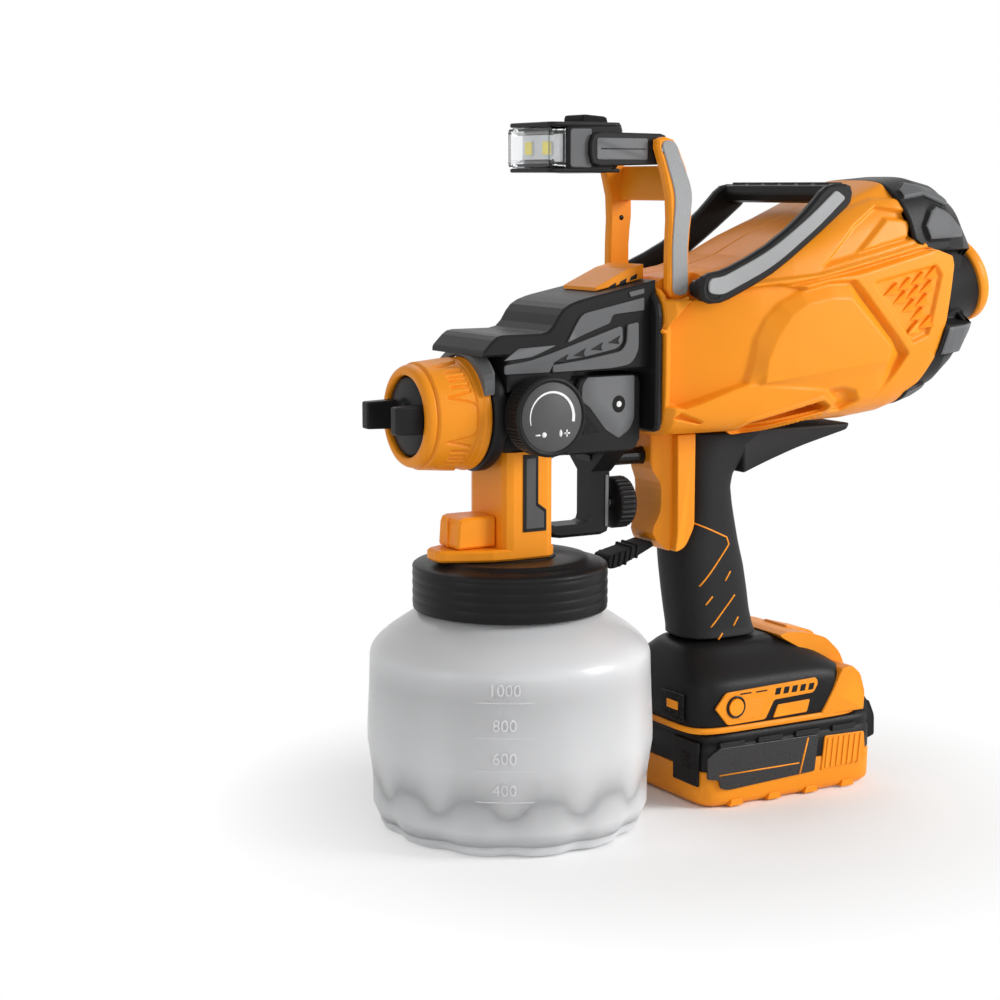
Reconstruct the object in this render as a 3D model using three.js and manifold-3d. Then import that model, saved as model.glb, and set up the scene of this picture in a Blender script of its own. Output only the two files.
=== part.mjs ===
// A cordless turbine paint sprayer: spray head and clear paint bottle in front, motor housing and
// grip behind, a battery under the grip, a work lamp and a carrying handle on top.
// Millimetres, +Z up. Paint leaves towards -X, the air intake is at +X, and the side with the
// pattern dial is -Y. The origin is the middle of the bottle's base, on the floor.
import * as THREE from "three";
import { mergeVertices } from "three/addons/utils/BufferGeometryUtils.js";
import Module from "manifold-3d";

const wasm = await Module();
wasm.setup();

// ---- driving dimensions ----

const GAP = 0.3; // clearance between neighbouring pieces
const SHELL_WALL = 2.6;
const PIN_RADIUS = 2.4;

// Paint bottle and its screw collar, on the Z axis.
const BOTTLE_RADIUS = 65;
const BOTTLE_WALL = 2;
const BOTTLE_SIDE_TOP = 76;
const BOTTLE_SHOULDER_TOP = 98;
const BOTTLE_BASE_ROUNDING = 7;
const NECK_FINISH_RADIUS = 38.5;
const NECK_FINISH_TOP = 114;
const COLLAR_RADIUS = 44.2;
const COLLAR_BOTTOM = 99.6;
const COLLAR_TOP = 123;
const COLLAR_SKIRT_TOP = 119.3;
const COLLAR_CROWN_RADIUS = 35;
const GASKET_THICKNESS = 1;
const LID_THICKNESS = 3;
const LID_SPIGOT_RADIUS = 20;
const PICKUP_RADIUS = 4;
const PICKUP_BORE_RADIUS = 2.6;
const PICKUP_FLOOR_GAP = 8;

// Neck from the collar up to the spray head.
const NECK_FRONT = -12;
const NECK_REAR = 13;
const NECK_HALF_WIDTH = 17;
const FLANGE_THICKNESS = 5.2;
const FLANGE_TIP = -40;
const FLANGE_REAR = 17;
const VENT_FRONT = -32;
const VENT_HALF_WIDTH = 9;
const VENT_TOP = 143;

// Spray head, round the nozzle axis, which runs along X.
const NOZZLE_Z = 188.5;
const HEAD_FRONT = -15;
const HEAD_REAR = 58;
const HEAD_HALF_WIDTH = 18;
const HEAD_BOTTOM = 172;
const HEAD_TOP = 204;
const NEEDLE_BORE = 7;
const NEEDLE_RADIUS = 1.5;
const NEEDLE_REAR = 35;
const SPRING_RADIUS = 5;
const SPRING_LENGTH = 18;
const FRONT_COLLAR_RADIUS = 26;
const FRONT_COLLAR_LENGTH = 7;
const NUT_FRONT = -53;
const NUT_FRONT_RADIUS = 22.5;
const NUT_REAR_RADIUS = 25;
const CAP_FACE = -51.5;
const CAP_RADIUS = 17.7;
const CAP_SHOULDER = 2.6;
const HORN_TIP = -65.5;
const HORN_INNER = 11;
const HORN_OUTER = 17;
const HORN_HALF_HEIGHT = 6;
const TIP_RADIUS = 5.5;
const COVER_HALF_WIDTH = 24;
const COVER_PLATE_HALF_WIDTH = 30;
const COVER_PLATE_BOTTOM = 178;
const COVER_TOP_REAR = 246;
const TUBE_RADIUS = 13;
const TUBE_BORE = 9;
const DIAL_X = -1;
const DIAL_FACE_Y = -38;
const DIAL_BACK_Y = -26;
const DIAL_RADIUS = 17.5;
const DIAL_FACE_RADIUS = 15.5;
const DIAL_SPINDLE_RADIUS = 9.5;
const LATCH_HALF_WIDTH = 14;
const LATCH_FRONT = 36;

// Trigger, hung on two pins at the sides of the spray head.
const TRIGGER_PIVOT_X = 44;
const TRIGGER_PIVOT_Z = 191;
const TRIGGER_HALF_WIDTH = 6;
const TRIGGER_REAR = 50;
const TRIGGER_BOTTOM = COLLAR_TOP + 6.3;
const SADDLE_WALL = 2.4;
const LOOP_FRONT_WALL = 2.6;
const LOOP_REAR = 39;
const PLUNGER_Z = 164;
const PLUNGER_RADIUS = 4;
const TRIGGER_STROKE = 4.4; // how far the trigger pushes the switch plunger
const KNOB_Z = TRIGGER_BOTTOM + 13.7;
const KNOB_RADIUS = 12;
const KNOB_LENGTH = 9;
const SCREW_RADIUS = 3;

// Motor housing.
const BODY_FRONT = 62;
const BODY_BOTTOM = 175;
const DECK_Z = 247;
const TAIL_END = 246;
const MOTOR_Z = 226;
const MOTOR_RADIUS = 21;
const MOTOR_FRONT = 150;
const MOTOR_LENGTH = 58;
const IMPELLER_RADIUS = 23.4;
const IMPELLER_FRONT = 118;
const IMPELLER_WIDTH = 16;
const DRUM_RADIUS = 21.2;
const DRUM_LENGTH = 30;
const DRUM_FRONT_X = 226.4;
const DRUM_FRONT_Z = 232.5;
const DRUM_TILT = 0.275;
const DRUM_WALL = 2;
const INTAKE_CAP_RADIUS = 22;
const INTAKE_CAP_LENGTH = 6.5;
const FILTER_THICKNESS = 8;

// Handle, foot and battery.
const COLUMN_FRONT = 70;
const COLUMN_HALF_WIDTH = 13;
const COLUMN_NOSE_HALF_WIDTH = 8;
const COLUMN_WAIST = 4.5; // how far the column's front steps back below the switch plunger
const COLUMN_BOTTOM = 119;
const GRIP_HALF_WIDTH = 17;
const CELL_LENGTH = 65;
const FOOT_HALF_WIDTH = CELL_LENGTH / 2 + 3.5;
const FOOT_BOTTOM = 36;
const FOOT_TOP = 75;
const BATTERY_FRONT = 84;
const BATTERY_REAR = 186;
const BATTERY_HALF_WIDTH = FOOT_HALF_WIDTH;
const BATTERY_SPLIT = 17;
const CELL_RADIUS = 9.2;
const CELL_COUNT = 5;

// Carrying handle and work lamp.
const CARRY_PIVOT_X = 80;
const CARRY_PIVOT_Z = 242;
const CARRY_INNER = 38.6;
const CARRY_OUTER = 43;
const CARRY_PIN_RADIUS = 4;
const ARM_INNER = 22;
const ARM_OUTER = 27;
const ARM_PIVOT_X = 72;
const ARM_PIVOT_Z = 243;
const LAMP_PIVOT_X = 64;
const LAMP_PIVOT_Z = 304;
const LAMP_HALF_WIDTH = 19;
const LAMP_FRONT = 9;
const LAMP_REAR = 47;
const LAMP_HEIGHT = 22;
const LAMP_BOTTOM = LAMP_PIVOT_Z - LAMP_HEIGHT / 2;
const LAMP_TOP = LAMP_BOTTOM + LAMP_HEIGHT;
const LENS_DEPTH = 9;
const LENS_WALL = 1.5;

// ---- materials ----

const finish = (color, roughness, metalness = 0) => () =>
  new THREE.MeshStandardMaterial({ color, roughness, metalness });
const orange = finish(0xf5961f, 0.4);
const black = finish(0x1b1b1d, 0.6);
const grey = finish(0x5a5c60, 0.6);
const rubber = finish(0x111112, 0.85);
const steel = finish(0xb8babd, 0.3, 1);
const copper = finish(0xb5713c, 0.4, 1);
const milky = finish(0xd9dbdd, 0.35);
const clear = finish(0xe6e9ea, 0.2);
const foam = finish(0x2e2f31, 1);

// ---- shapes ----

// A geometry as a solid. A profile may run either way round: what comes out inside out is turned.
function solid(geometry) {
  const bare = geometry.index ? geometry.toNonIndexed() : geometry.clone();
  bare.deleteAttribute("normal");
  bare.deleteAttribute("uv");
  const merged = mergeVertices(bare, 1e-6);
  const corners = merged.index.array;
  const kept = [];
  for (let i = 0; i < corners.length; i += 3) {
    const [a, b, c] = [corners[i], corners[i + 1], corners[i + 2]];
    if (a !== b && b !== c && c !== a) kept.push(a, b, c);
  }
  const vertProperties = merged.attributes.position.array;
  const build = (list) =>
    new wasm.Manifold(new wasm.Mesh({ numProp: 3, vertProperties, triVerts: new Uint32Array(list) }));
  const made = build(kept);
  return made.volume() > 0 ? made : build(kept.reverse());
}

const join = (first, ...rest) => rest.reduce((a, b) => a.add(b), first);
const cut = (first, ...rest) => rest.reduce((a, b) => a.subtract(b), first);

// A closed outline from corners [u, v] or [u, v, radius]. A rounded corner's radius is at least
// `least`, so that the outline can be drawn in by the edge rounding without folding over.
function outline(corners, least = 0, steps = 2) {
  const points = [];
  corners.forEach(([u, v, radius = 0], i) => {
    const corner = new THREE.Vector2(u, v);
    const before = new THREE.Vector2(...corners.at(i - 1).slice(0, 2)).sub(corner);
    const after = new THREE.Vector2(...corners[(i + 1) % corners.length].slice(0, 2)).sub(corner);
    const wanted = radius > 0 ? Math.max(radius, least) : 0;
    const reach = Math.min(wanted, before.length() / 2.1, after.length() / 2.1);
    if (reach <= 0) {
      points.push(corner);
      return;
    }
    const start = before.setLength(reach).add(corner);
    const end = after.setLength(reach).add(corner);
    points.push(...new THREE.QuadraticBezierCurve(start, corner, end).getPoints(steps));
  });
  return new THREE.Shape(points);
}

// A plate between two levels of its own depth axis, with both faces' edges rounded by `edge`.
function plate(corners, from, to, edge) {
  const geometry = new THREE.ExtrudeGeometry(outline(corners, 1.6 * edge), {
    depth: to - from - 2 * edge,
    bevelEnabled: edge > 0,
    bevelThickness: edge,
    bevelSize: edge,
    bevelOffset: -edge,
    bevelSegments: 1,
  });
  return geometry.translate(0, 0, from + edge);
}

const basis = (u, v, w) =>
  new THREE.Matrix4().makeBasis(new THREE.Vector3(...u), new THREE.Vector3(...v), new THREE.Vector3(...w));
const SIDE_VIEW = basis([1, 0, 0], [0, 0, 1], [0, -1, 0]);
const FRONT_VIEW = basis([0, 1, 0], [0, 0, 1], [1, 0, 0]);

// Corners are [x, z], and the plate lies between y0 and y1.
function sidePlate(corners, y0, y1, edge = 0) {
  return solid(plate(corners, -y1, -y0, edge).applyMatrix4(SIDE_VIEW));
}

// Corners are [y, z], and the plate lies between x0 and x1.
function frontPlate(corners, x0, x1, edge = 0) {
  return solid(plate(corners, x0, x1, edge).applyMatrix4(FRONT_VIEW));
}

// Corners are [x, y], and the plate lies between z0 and z1.
function floorPlate(corners, z0, z1, edge = 0) {
  return solid(plate(corners, z0, z1, edge));
}

function block(x0, x1, y0, y1, z0, z1) {
  const geometry = new THREE.BoxGeometry(x1 - x0, y1 - y0, z1 - z0);
  return solid(geometry.translate((x0 + x1) / 2, (y0 + y1) / 2, (z0 + z1) / 2));
}

const AXES = {
  x: basis([0, 0, 1], [1, 0, 0], [0, 1, 0]),
  y: new THREE.Matrix4(),
  z: basis([1, 0, 0], [0, 0, 1], [0, -1, 0]),
};

// A turned piece: its profile is a list of [radius, distance along the axis].
function turned(profile, axis, [x, y, z], segments = 24) {
  const points = profile.map(([radius, along]) => new THREE.Vector2(radius, along));
  const geometry = new THREE.LatheGeometry(points, segments).applyMatrix4(AXES[axis]);
  return solid(geometry.translate(x, y, z));
}

function rod(axis, centre, radius, from, to, segments = 12) {
  const profile = [[0, from], [radius, from], [radius, to], [0, to]];
  return turned(profile, axis, centre, segments);
}

function tube(axis, centre, radius, bore, from, to, segments = 20) {
  const profile = [[bore, from], [radius, from], [radius, to], [bore, to], [bore, from]];
  return turned(profile, axis, centre, segments);
}

// A skin over convex rings of points, closed by a flat face at each end.
function loft(rings) {
  const count = rings[0].length;
  const last = (rings.length - 1) * count;
  const index = [];
  for (let start = 0; start < last; start += count) {
    for (let i = 0; i < count; i++) {
      const a = start + i;
      const b = start + ((i + 1) % count);
      index.push(a, b, b + count, a, b + count, a + count);
    }
  }
  for (let i = 1; i + 1 < count; i++) {
    index.push(0, i + 1, i, last, last + i, last + i + 1);
  }
  const positions = rings.flat().flatMap((point) => point.toArray());
  const geometry = new THREE.BufferGeometry();
  geometry.setAttribute("position", new THREE.Float32BufferAttribute(positions, 3));
  return solid(geometry.setIndex(index));
}

// A ring between an ellipse (power 2) and a rectangle (high power), placed by `at`.
function ring(halfU, halfV, power, at, count = 24) {
  const bow = (value) => Math.sign(value) * Math.abs(value) ** (2 / power);
  return Array.from({ length: count }, (_, i) => {
    const angle = (2 * Math.PI * (i + 0.5)) / count;
    return at(halfU * bow(Math.cos(angle)), halfV * bow(Math.sin(angle)));
  });
}

const root = new THREE.Group();
root.name = "paint_sprayer";

function piece(name, made, material) {
  const mesh = made.getMesh();
  const geometry = new THREE.BufferGeometry();
  geometry.setAttribute("position", new THREE.BufferAttribute(mesh.vertProperties, 3));
  geometry.setIndex(new THREE.BufferAttribute(mesh.triVerts, 1));
  geometry.computeVertexNormals();
  const node = new THREE.Mesh(geometry, material());
  node.name = name;
  root.add(node);
}

const SIDES = [
  ["left", -1],
  ["right", 1],
];
// The plate or rod that lies between two distances from the centre plane, on one side.
const onSide = (side, inner, outer) => (side < 0 ? [-outer, -inner] : [inner, outer]);

// ---- bottle, collar and neck ----

function bottle() {
  const arc = (radiusTo, offset) => {
    const points = [];
    const steps = 4;
    for (let i = 0; i <= steps; i++) {
      const angle = (i / steps) * (Math.PI / 2);
      const span = BOTTLE_RADIUS - radiusTo - offset;
      const rise = BOTTLE_SHOULDER_TOP - BOTTLE_SIDE_TOP - offset;
      points.push([
        radiusTo + span * Math.cos(angle),
        BOTTLE_SIDE_TOP + rise * Math.sin(angle),
      ]);
    }
    return points;
  };
  const inner = NECK_FINISH_RADIUS - BOTTLE_WALL;
  const wallRadius = BOTTLE_RADIUS - BOTTLE_WALL;
  const base = BOTTLE_BASE_ROUNDING;
  const profile = [
    [0, 0],
    [BOTTLE_RADIUS - base, 0],
    [BOTTLE_RADIUS - base / 3, base / 3],
    [BOTTLE_RADIUS, base],
    ...arc(NECK_FINISH_RADIUS, 0),
    [NECK_FINISH_RADIUS, NECK_FINISH_TOP],
    [inner, NECK_FINISH_TOP],
    ...arc(inner, BOTTLE_WALL).reverse(),
    [wallRadius, base],
    [wallRadius - base / 2, BOTTLE_WALL],
    [0, BOTTLE_WALL],
  ];
  piece("bottle", turned(profile, "z", [0, 0, 0], 28), milky);
}

function collar() {
  const bore = NECK_FINISH_RADIUS + GAP;
  const profile = [
    [bore, COLLAR_BOTTOM],
    [COLLAR_RADIUS, COLLAR_BOTTOM],
    [COLLAR_RADIUS, COLLAR_SKIRT_TOP],
    [COLLAR_CROWN_RADIUS, COLLAR_TOP],
    [LID_SPIGOT_RADIUS + GAP, COLLAR_TOP],
    [LID_SPIGOT_RADIUS + GAP, COLLAR_SKIRT_TOP],
    [bore, COLLAR_SKIRT_TOP],
    [bore, COLLAR_BOTTOM],
  ];
  piece("collar", turned(profile, "z", [0, 0, 0], 28), black);
}

function lidAndPickup() {
  const gasketTop = NECK_FINISH_TOP + GAP + GASKET_THICKNESS;
  const gasketBore = NECK_FINISH_RADIUS - 2 * BOTTLE_WALL;
  piece(
    "bottle_gasket",
    tube("z", [0, 0, 0], NECK_FINISH_RADIUS, gasketBore, NECK_FINISH_TOP + GAP, gasketTop, 20),
    rubber,
  );
  const lidBottom = gasketTop + GAP;
  const lid = rod("z", [0, 0, 0], NECK_FINISH_RADIUS, lidBottom, lidBottom + LID_THICKNESS, 20);
  const spigot = rod("z", [0, 0, 0], LID_SPIGOT_RADIUS, lidBottom, COLLAR_TOP + GAP, 20);
  const paintWay = rod("z", [0, 0, 0], PICKUP_BORE_RADIUS, lidBottom - 1, COLLAR_TOP + 1);
  piece("bottle_lid", cut(join(lid, spigot), paintWay), black);
  piece(
    "pickup_tube",
    tube("z", [0, 0, 0], PICKUP_RADIUS, PICKUP_BORE_RADIUS, PICKUP_FLOOR_GAP, lidBottom - GAP, 12),
    clear,
  );
}

function neck() {
  const bottom = COLLAR_TOP + 2 * GAP;
  const flangeTop = bottom + FLANGE_THICKNESS;
  const half = NECK_HALF_WIDTH;
  const flange = floorPlate(
    [
      [FLANGE_TIP, -6, 3],
      [NECK_FRONT - 6, -half, 8],
      [NECK_REAR, -half, 6],
      [FLANGE_REAR, -half / 2, 6],
      [FLANGE_REAR, half / 2, 6],
      [NECK_REAR, half, 6],
      [NECK_FRONT - 6, half, 8],
      [FLANGE_TIP, 6, 3],
    ],
    bottom,
    flangeTop,
    1,
  );
  const stem = floorPlate(
    [
      [NECK_FRONT, -half, 4],
      [NECK_REAR, -half, 4],
      [NECK_REAR, half, 4],
      [NECK_FRONT, half, 4],
    ],
    bottom + 1,
    HEAD_BOTTOM - GAP,
  );
  const paintWay = rod("z", [0, 0, 0], PICKUP_BORE_RADIUS, bottom - 1, HEAD_BOTTOM);
  piece("neck", cut(join(flange, stem), paintWay), orange);
  const vent = sidePlate(
    [
      [VENT_FRONT, flangeTop + GAP, 1],
      [NECK_FRONT - GAP, flangeTop + GAP],
      [NECK_FRONT - GAP, VENT_TOP, 1],
      [VENT_FRONT + 1, VENT_TOP, 3],
    ],
    -VENT_HALF_WIDTH,
    VENT_HALF_WIDTH,
    1,
  );
  piece("vent_block", vent, orange);
}

// ---- spray head ----

const NOZZLE = [0, 0, NOZZLE_Z];

function headBody() {
  const corners = [
    [HEAD_FRONT, HEAD_BOTTOM, 3],
    [TRIGGER_PIVOT_X - 4, HEAD_BOTTOM, 4],
    [HEAD_REAR - 8, HEAD_BOTTOM + 4, 3],
    [HEAD_REAR, HEAD_BOTTOM + 4],
    [HEAD_REAR, HEAD_TOP],
    [HEAD_FRONT, HEAD_TOP, 3],
  ];
  const core = sidePlate(corners, -HEAD_HALF_WIDTH, HEAD_HALF_WIDTH, 2);
  const coupling = rod("x", NOZZLE, TUBE_RADIUS, HEAD_REAR - 4, BODY_FRONT - GAP, 20);
  const needleBore = rod("x", NOZZLE, NEEDLE_BORE, HEAD_FRONT - 1, HEAD_REAR - 12);
  const airBore = rod("x", NOZZLE, TUBE_BORE, HEAD_REAR - 8, BODY_FRONT + 1);
  const pinBores = SIDES.map(([, side]) => {
    const [from, to] = onSide(side, HEAD_HALF_WIDTH - 6, HEAD_HALF_WIDTH + 1);
    return rod("y", [TRIGGER_PIVOT_X, 0, TRIGGER_PIVOT_Z], PIN_RADIUS + GAP, from, to);
  });
  piece("head_body", cut(join(core, coupling), needleBore, airBore, ...pinBores), black);
}

function nozzle() {
  const collarFront = HEAD_FRONT - GAP - FRONT_COLLAR_LENGTH;
  piece(
    "front_collar",
    tube("x", NOZZLE, FRONT_COLLAR_RADIUS, TIP_RADIUS + 4, collarFront, HEAD_FRONT - GAP, 24),
    black,
  );
  const nutRear = collarFront - GAP;
  const mouth = CAP_RADIUS + GAP;
  const shoulder = CAP_RADIUS + CAP_SHOULDER;
  const shoulderFront = NUT_FRONT + 4;
  const nut = [
    [mouth, NUT_FRONT],
    [NUT_FRONT_RADIUS - 2.5, NUT_FRONT],
    [NUT_FRONT_RADIUS, NUT_FRONT + 3],
    [NUT_REAR_RADIUS, nutRear - 6],
    [NUT_REAR_RADIUS, nutRear],
    [shoulder + GAP, nutRear],
    [shoulder + GAP, shoulderFront - GAP],
    [mouth, shoulderFront - GAP],
    [mouth, NUT_FRONT],
  ];
  piece("union_nut", turned(nut, "x", NOZZLE, 24), orange);
  const tipBore = TIP_RADIUS + GAP;
  const cap = [
    [tipBore, CAP_FACE],
    [CAP_RADIUS, CAP_FACE],
    [CAP_RADIUS, shoulderFront],
    [shoulder, shoulderFront],
    [shoulder, nutRear],
    [tipBore, nutRear],
    [tipBore, CAP_FACE],
  ];
  const horns = SIDES.map(([, side]) => {
    const [y0, y1] = onSide(side, HORN_INNER, HORN_OUTER);
    return frontPlate(
      [
        [y0, NOZZLE_Z - HORN_HALF_HEIGHT, 2],
        [y1, NOZZLE_Z - HORN_HALF_HEIGHT, 2],
        [y1, NOZZLE_Z + HORN_HALF_HEIGHT, 2],
        [y0, NOZZLE_Z + HORN_HALF_HEIGHT, 2],
      ],
      HORN_TIP,
      CAP_FACE + 2,
      1.5,
    );
  });
  piece("air_cap", join(turned(cap, "x", NOZZLE, 24), ...horns), black);
  const tip = [
    [NEEDLE_RADIUS + GAP, CAP_FACE - 1],
    [TIP_RADIUS - 2, CAP_FACE - 1],
    [TIP_RADIUS, CAP_FACE + 3],
    [TIP_RADIUS, HEAD_FRONT - GAP],
    [NEEDLE_RADIUS + GAP, HEAD_FRONT - GAP],
    [NEEDLE_RADIUS + GAP, CAP_FACE - 1],
  ];
  piece("fluid_tip", turned(tip, "x", NOZZLE, 20), steel);
  piece("needle", rod("x", NOZZLE, NEEDLE_RADIUS, CAP_FACE, NEEDLE_REAR, 10), steel);
  const springEnd = NEEDLE_REAR - GAP;
  piece(
    "needle_spring",
    tube("x", NOZZLE, SPRING_RADIUS, NEEDLE_RADIUS + GAP, springEnd - SPRING_LENGTH, springEnd, 12),
    steel,
  );
}

function headCover() {
  const half = COVER_HALF_WIDTH;
  const skirtFront = 199;
  const skirtRear = HEAD_TOP + 2.5;
  const collarTop = NOZZLE_Z + FRONT_COLLAR_RADIUS + GAP;
  const hood = sidePlate(
    [
      [-27, collarTop],
      [-27, 217, 1],
      [-20, 224, 3],
      [6, 224, 4],
      [13, 235, 4],
      [21, 238, 4],
      [BODY_FRONT - GAP, COVER_TOP_REAR],
      [BODY_FRONT - GAP, skirtRear],
      [18, skirtRear, 3],
      [16, skirtFront, 2],
      [HEAD_FRONT, skirtFront],
      [HEAD_FRONT, collarTop],
    ],
    -half,
    half,
    1,
  );
  const plateFront = HEAD_REAR + GAP;
  const wide = COVER_PLATE_HALF_WIDTH;
  const backPlate = frontPlate(
    [
      [-wide, COVER_PLATE_BOTTOM, 4],
      [wide, COVER_PLATE_BOTTOM, 4],
      [wide, COVER_TOP_REAR - 10, 6],
      [wide - 12, COVER_TOP_REAR - 1, 6],
      [12 - wide, COVER_TOP_REAR - 1, 6],
      [-wide, COVER_TOP_REAR - 10, 6],
    ],
    plateFront,
    BODY_FRONT - GAP,
    1,
  );
  const cavity = block(
    HEAD_FRONT - 2,
    plateFront,
    -HEAD_HALF_WIDTH - GAP,
    HEAD_HALF_WIDTH + GAP,
    HEAD_BOTTOM,
    HEAD_TOP + GAP,
  );
  const socket = rod("x", NOZZLE, TUBE_RADIUS + GAP, HEAD_REAR, BODY_FRONT + 1, 20);
  piece("head_cover", cut(join(hood, backPlate), cavity, socket), black);
}

function releaseLatch() {
  const rise = (COVER_TOP_REAR - 238) / (BODY_FRONT - GAP - 21);
  const coverAt = (x) => COVER_TOP_REAR - rise * (BODY_FRONT - GAP - x) + GAP;
  const rear = BODY_FRONT - 2 * GAP;
  const latch = sidePlate(
    [
      [LATCH_FRONT, coverAt(LATCH_FRONT)],
      [rear, coverAt(rear)],
      [rear, coverAt(rear) + 6.5],
      [rear - 8, coverAt(rear) + 4.5],
      [LATCH_FRONT + 3, coverAt(LATCH_FRONT) + 3],
      [LATCH_FRONT, coverAt(LATCH_FRONT) + 1.5],
    ],
    -LATCH_HALF_WIDTH,
    LATCH_HALF_WIDTH,
    0.4,
  );
  piece("release_latch", latch, orange);
}

function patternDial() {
  const centre = [DIAL_X, 0, NOZZLE_Z + 0.5];
  const knob = [
    [0, DIAL_FACE_Y],
    [DIAL_FACE_RADIUS, DIAL_FACE_Y],
    [DIAL_RADIUS, DIAL_FACE_Y + 2.5],
    [DIAL_RADIUS, DIAL_BACK_Y - 1],
    [DIAL_RADIUS - 1.5, DIAL_BACK_Y],
    [0, DIAL_BACK_Y],
  ];
  piece("pattern_dial", turned(knob, "y", centre, 24), black);
  const spindle = rod("y", centre, DIAL_SPINDLE_RADIUS, DIAL_BACK_Y + GAP, -HEAD_HALF_WIDTH - GAP, 24);
  piece("dial_spindle", spindle, black);
}

// ---- trigger group ----

function trigger() {
  const half = TRIGGER_HALF_WIDTH;
  const front = NECK_REAR + 2 * GAP;
  const saddleOuter = HEAD_HALF_WIDTH + GAP + SADDLE_WALL;
  const floor = HEAD_BOTTOM - 2 * GAP;
  const loop = sidePlate(
    [
      [front, TRIGGER_BOTTOM + 5, 5],
      [front + 6, TRIGGER_BOTTOM, 5],
      [TRIGGER_REAR, TRIGGER_BOTTOM, 5],
      [TRIGGER_REAR, floor],
      [front, floor, 6],
    ],
    -half,
    half,
    1.5,
  );
  const fingerSpace = sidePlate(
    [
      [front + LOOP_FRONT_WALL, TRIGGER_BOTTOM + 6, 4],
      [LOOP_REAR, TRIGGER_BOTTOM + 6, 3],
      [LOOP_REAR, floor - 4, 4],
      [front + LOOP_FRONT_WALL, floor - 4, 5],
    ],
    -half - 1,
    half + 1,
  );
  const rear = HEAD_REAR - 2;
  const saddle = sidePlate(
    [
      [front + 2, floor - 2, 2],
      [rear - 3, floor - 2, 3],
      [rear, floor + 3],
      [rear, HEAD_TOP, 4],
      [23, HEAD_TOP, 4],
      [18, floor + 4, 3],
    ],
    -saddleOuter,
    saddleOuter,
    0.8,
  );
  // The saddle's floor narrows into the finger lever below it.
  const taper = frontPlate(
    [
      [-saddleOuter + 1, floor - 1],
      [saddleOuter - 1, floor - 1],
      [half - 0.5, floor - 13],
      [-half + 0.5, floor - 13],
    ],
    LOOP_REAR,
    TRIGGER_REAR,
  );
  const headSpace = block(
    front - 1,
    HEAD_REAR + 4,
    -HEAD_HALF_WIDTH - GAP,
    HEAD_HALF_WIDTH + GAP,
    floor,
    HEAD_TOP + 4,
  );
  const pivot = [TRIGGER_PIVOT_X, 0, TRIGGER_PIVOT_Z];
  const pinBore = rod("y", pivot, PIN_RADIUS + GAP, -saddleOuter - 1, saddleOuter + 1);
  const screwFront = LOOP_REAR + 3;
  const screwBore = rod("x", [0, 0, KNOB_Z], SCREW_RADIUS + GAP, screwFront, TRIGGER_REAR + 1);
  const made = cut(join(loop, saddle, taper), fingerSpace, headSpace, pinBore, screwBore);
  piece("trigger", made, black);
  for (const [name, side] of SIDES) {
    const [from, to] = onSide(side, HEAD_HALF_WIDTH - 6 + GAP, saddleOuter);
    piece("trigger_pin_" + name, rod("y", pivot, PIN_RADIUS, from, to), steel);
  }
  const knobFront = TRIGGER_REAR + 2.3;
  const knobRear = knobFront + KNOB_LENGTH;
  const knob = [
    [0, knobFront],
    [KNOB_RADIUS - 1, knobFront],
    [KNOB_RADIUS, knobFront + 1],
    [KNOB_RADIUS, knobRear - 2],
    [KNOB_RADIUS - 2, knobRear],
    [0, knobRear],
  ];
  piece("flow_knob", turned(knob, "x", [0, 0, KNOB_Z], 20), black);
  const screw = rod("x", [0, 0, KNOB_Z], SCREW_RADIUS, screwFront + GAP, knobFront - GAP, 12);
  piece("flow_screw", screw, steel);
}

function switchGroup() {
  const axis = [0, 0, PLUNGER_Z];
  const switchFront = COLUMN_FRONT + 24;
  const plungerRear = switchFront - GAP - TRIGGER_STROKE;
  const plunger = rod("x", axis, PLUNGER_RADIUS, TRIGGER_REAR + GAP, plungerRear, 16);
  piece("switch_plunger", plunger, black);
  const ceiling = BODY_BOTTOM - SHELL_WALL - 2 * GAP;
  piece("trigger_switch", block(switchFront, switchFront + 16, -8, 8, PLUNGER_Z - 8, ceiling), black);
}

// ---- motor housing ----

// Stations along X: [x, bottom, top, half width, squareness].
const HOUSING = [
  [BODY_FRONT, BODY_BOTTOM + 1.5, DECK_Z - 3, 32, 4],
  [BODY_FRONT + 4, BODY_BOTTOM, DECK_Z, 35, 4],
  [93, BODY_BOTTOM, DECK_Z + 4, 38, 4],
  [110, BODY_BOTTOM, DECK_Z + 9, 40, 4],
  [128, BODY_BOTTOM + 1, 265, 41.5, 3.6],
  [148, BODY_BOTTOM + 2, 273, 42, 3.3],
  [170, BODY_BOTTOM + 2, 283, 42, 3],
  [190, BODY_BOTTOM + 4, 290, 41, 3],
  [208, BODY_BOTTOM + 9, 291, 40, 3],
  [222, BODY_BOTTOM + 15, 288, 38, 3],
  [234, BODY_BOTTOM + 22, 282, 34, 3],
  [TAIL_END, BODY_BOTTOM + 34, 269, 27, 2.6],
];

function housing(inset) {
  const stations = HOUSING.map(([x, bottom, top, half, power], i) => {
    const shift = i === 0 ? inset : i === HOUSING.length - 1 ? -inset : 0;
    const middle = (bottom + top) / 2;
    const rise = (top - bottom) / 2 - inset;
    return ring(half - inset, rise, power, (u, v) => new THREE.Vector3(x + shift, u, middle + v));
  });
  return loft(stations);
}

// The region behind the joint between the motor housing's shells and the tail cover.
function tailRegion(shift) {
  const far = TAIL_END + 40;
  const reach = 60;
  const joint = [
    [195, 300],
    [222, 254],
    [209, 196],
    [201, 182],
    [201, 160],
  ].map(([x, z]) => [x + shift, z]);
  return sidePlate([...joint, [far, 160], [far, 300]], -reach, reach);
}

// The intake's axis rises to the rear: local +X is that axis, from the drum's front end.
function placedOnDrum(geometry) {
  return solid(geometry.rotateY(-DRUM_TILT).translate(DRUM_FRONT_X, 0, DRUM_FRONT_Z));
}

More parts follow.
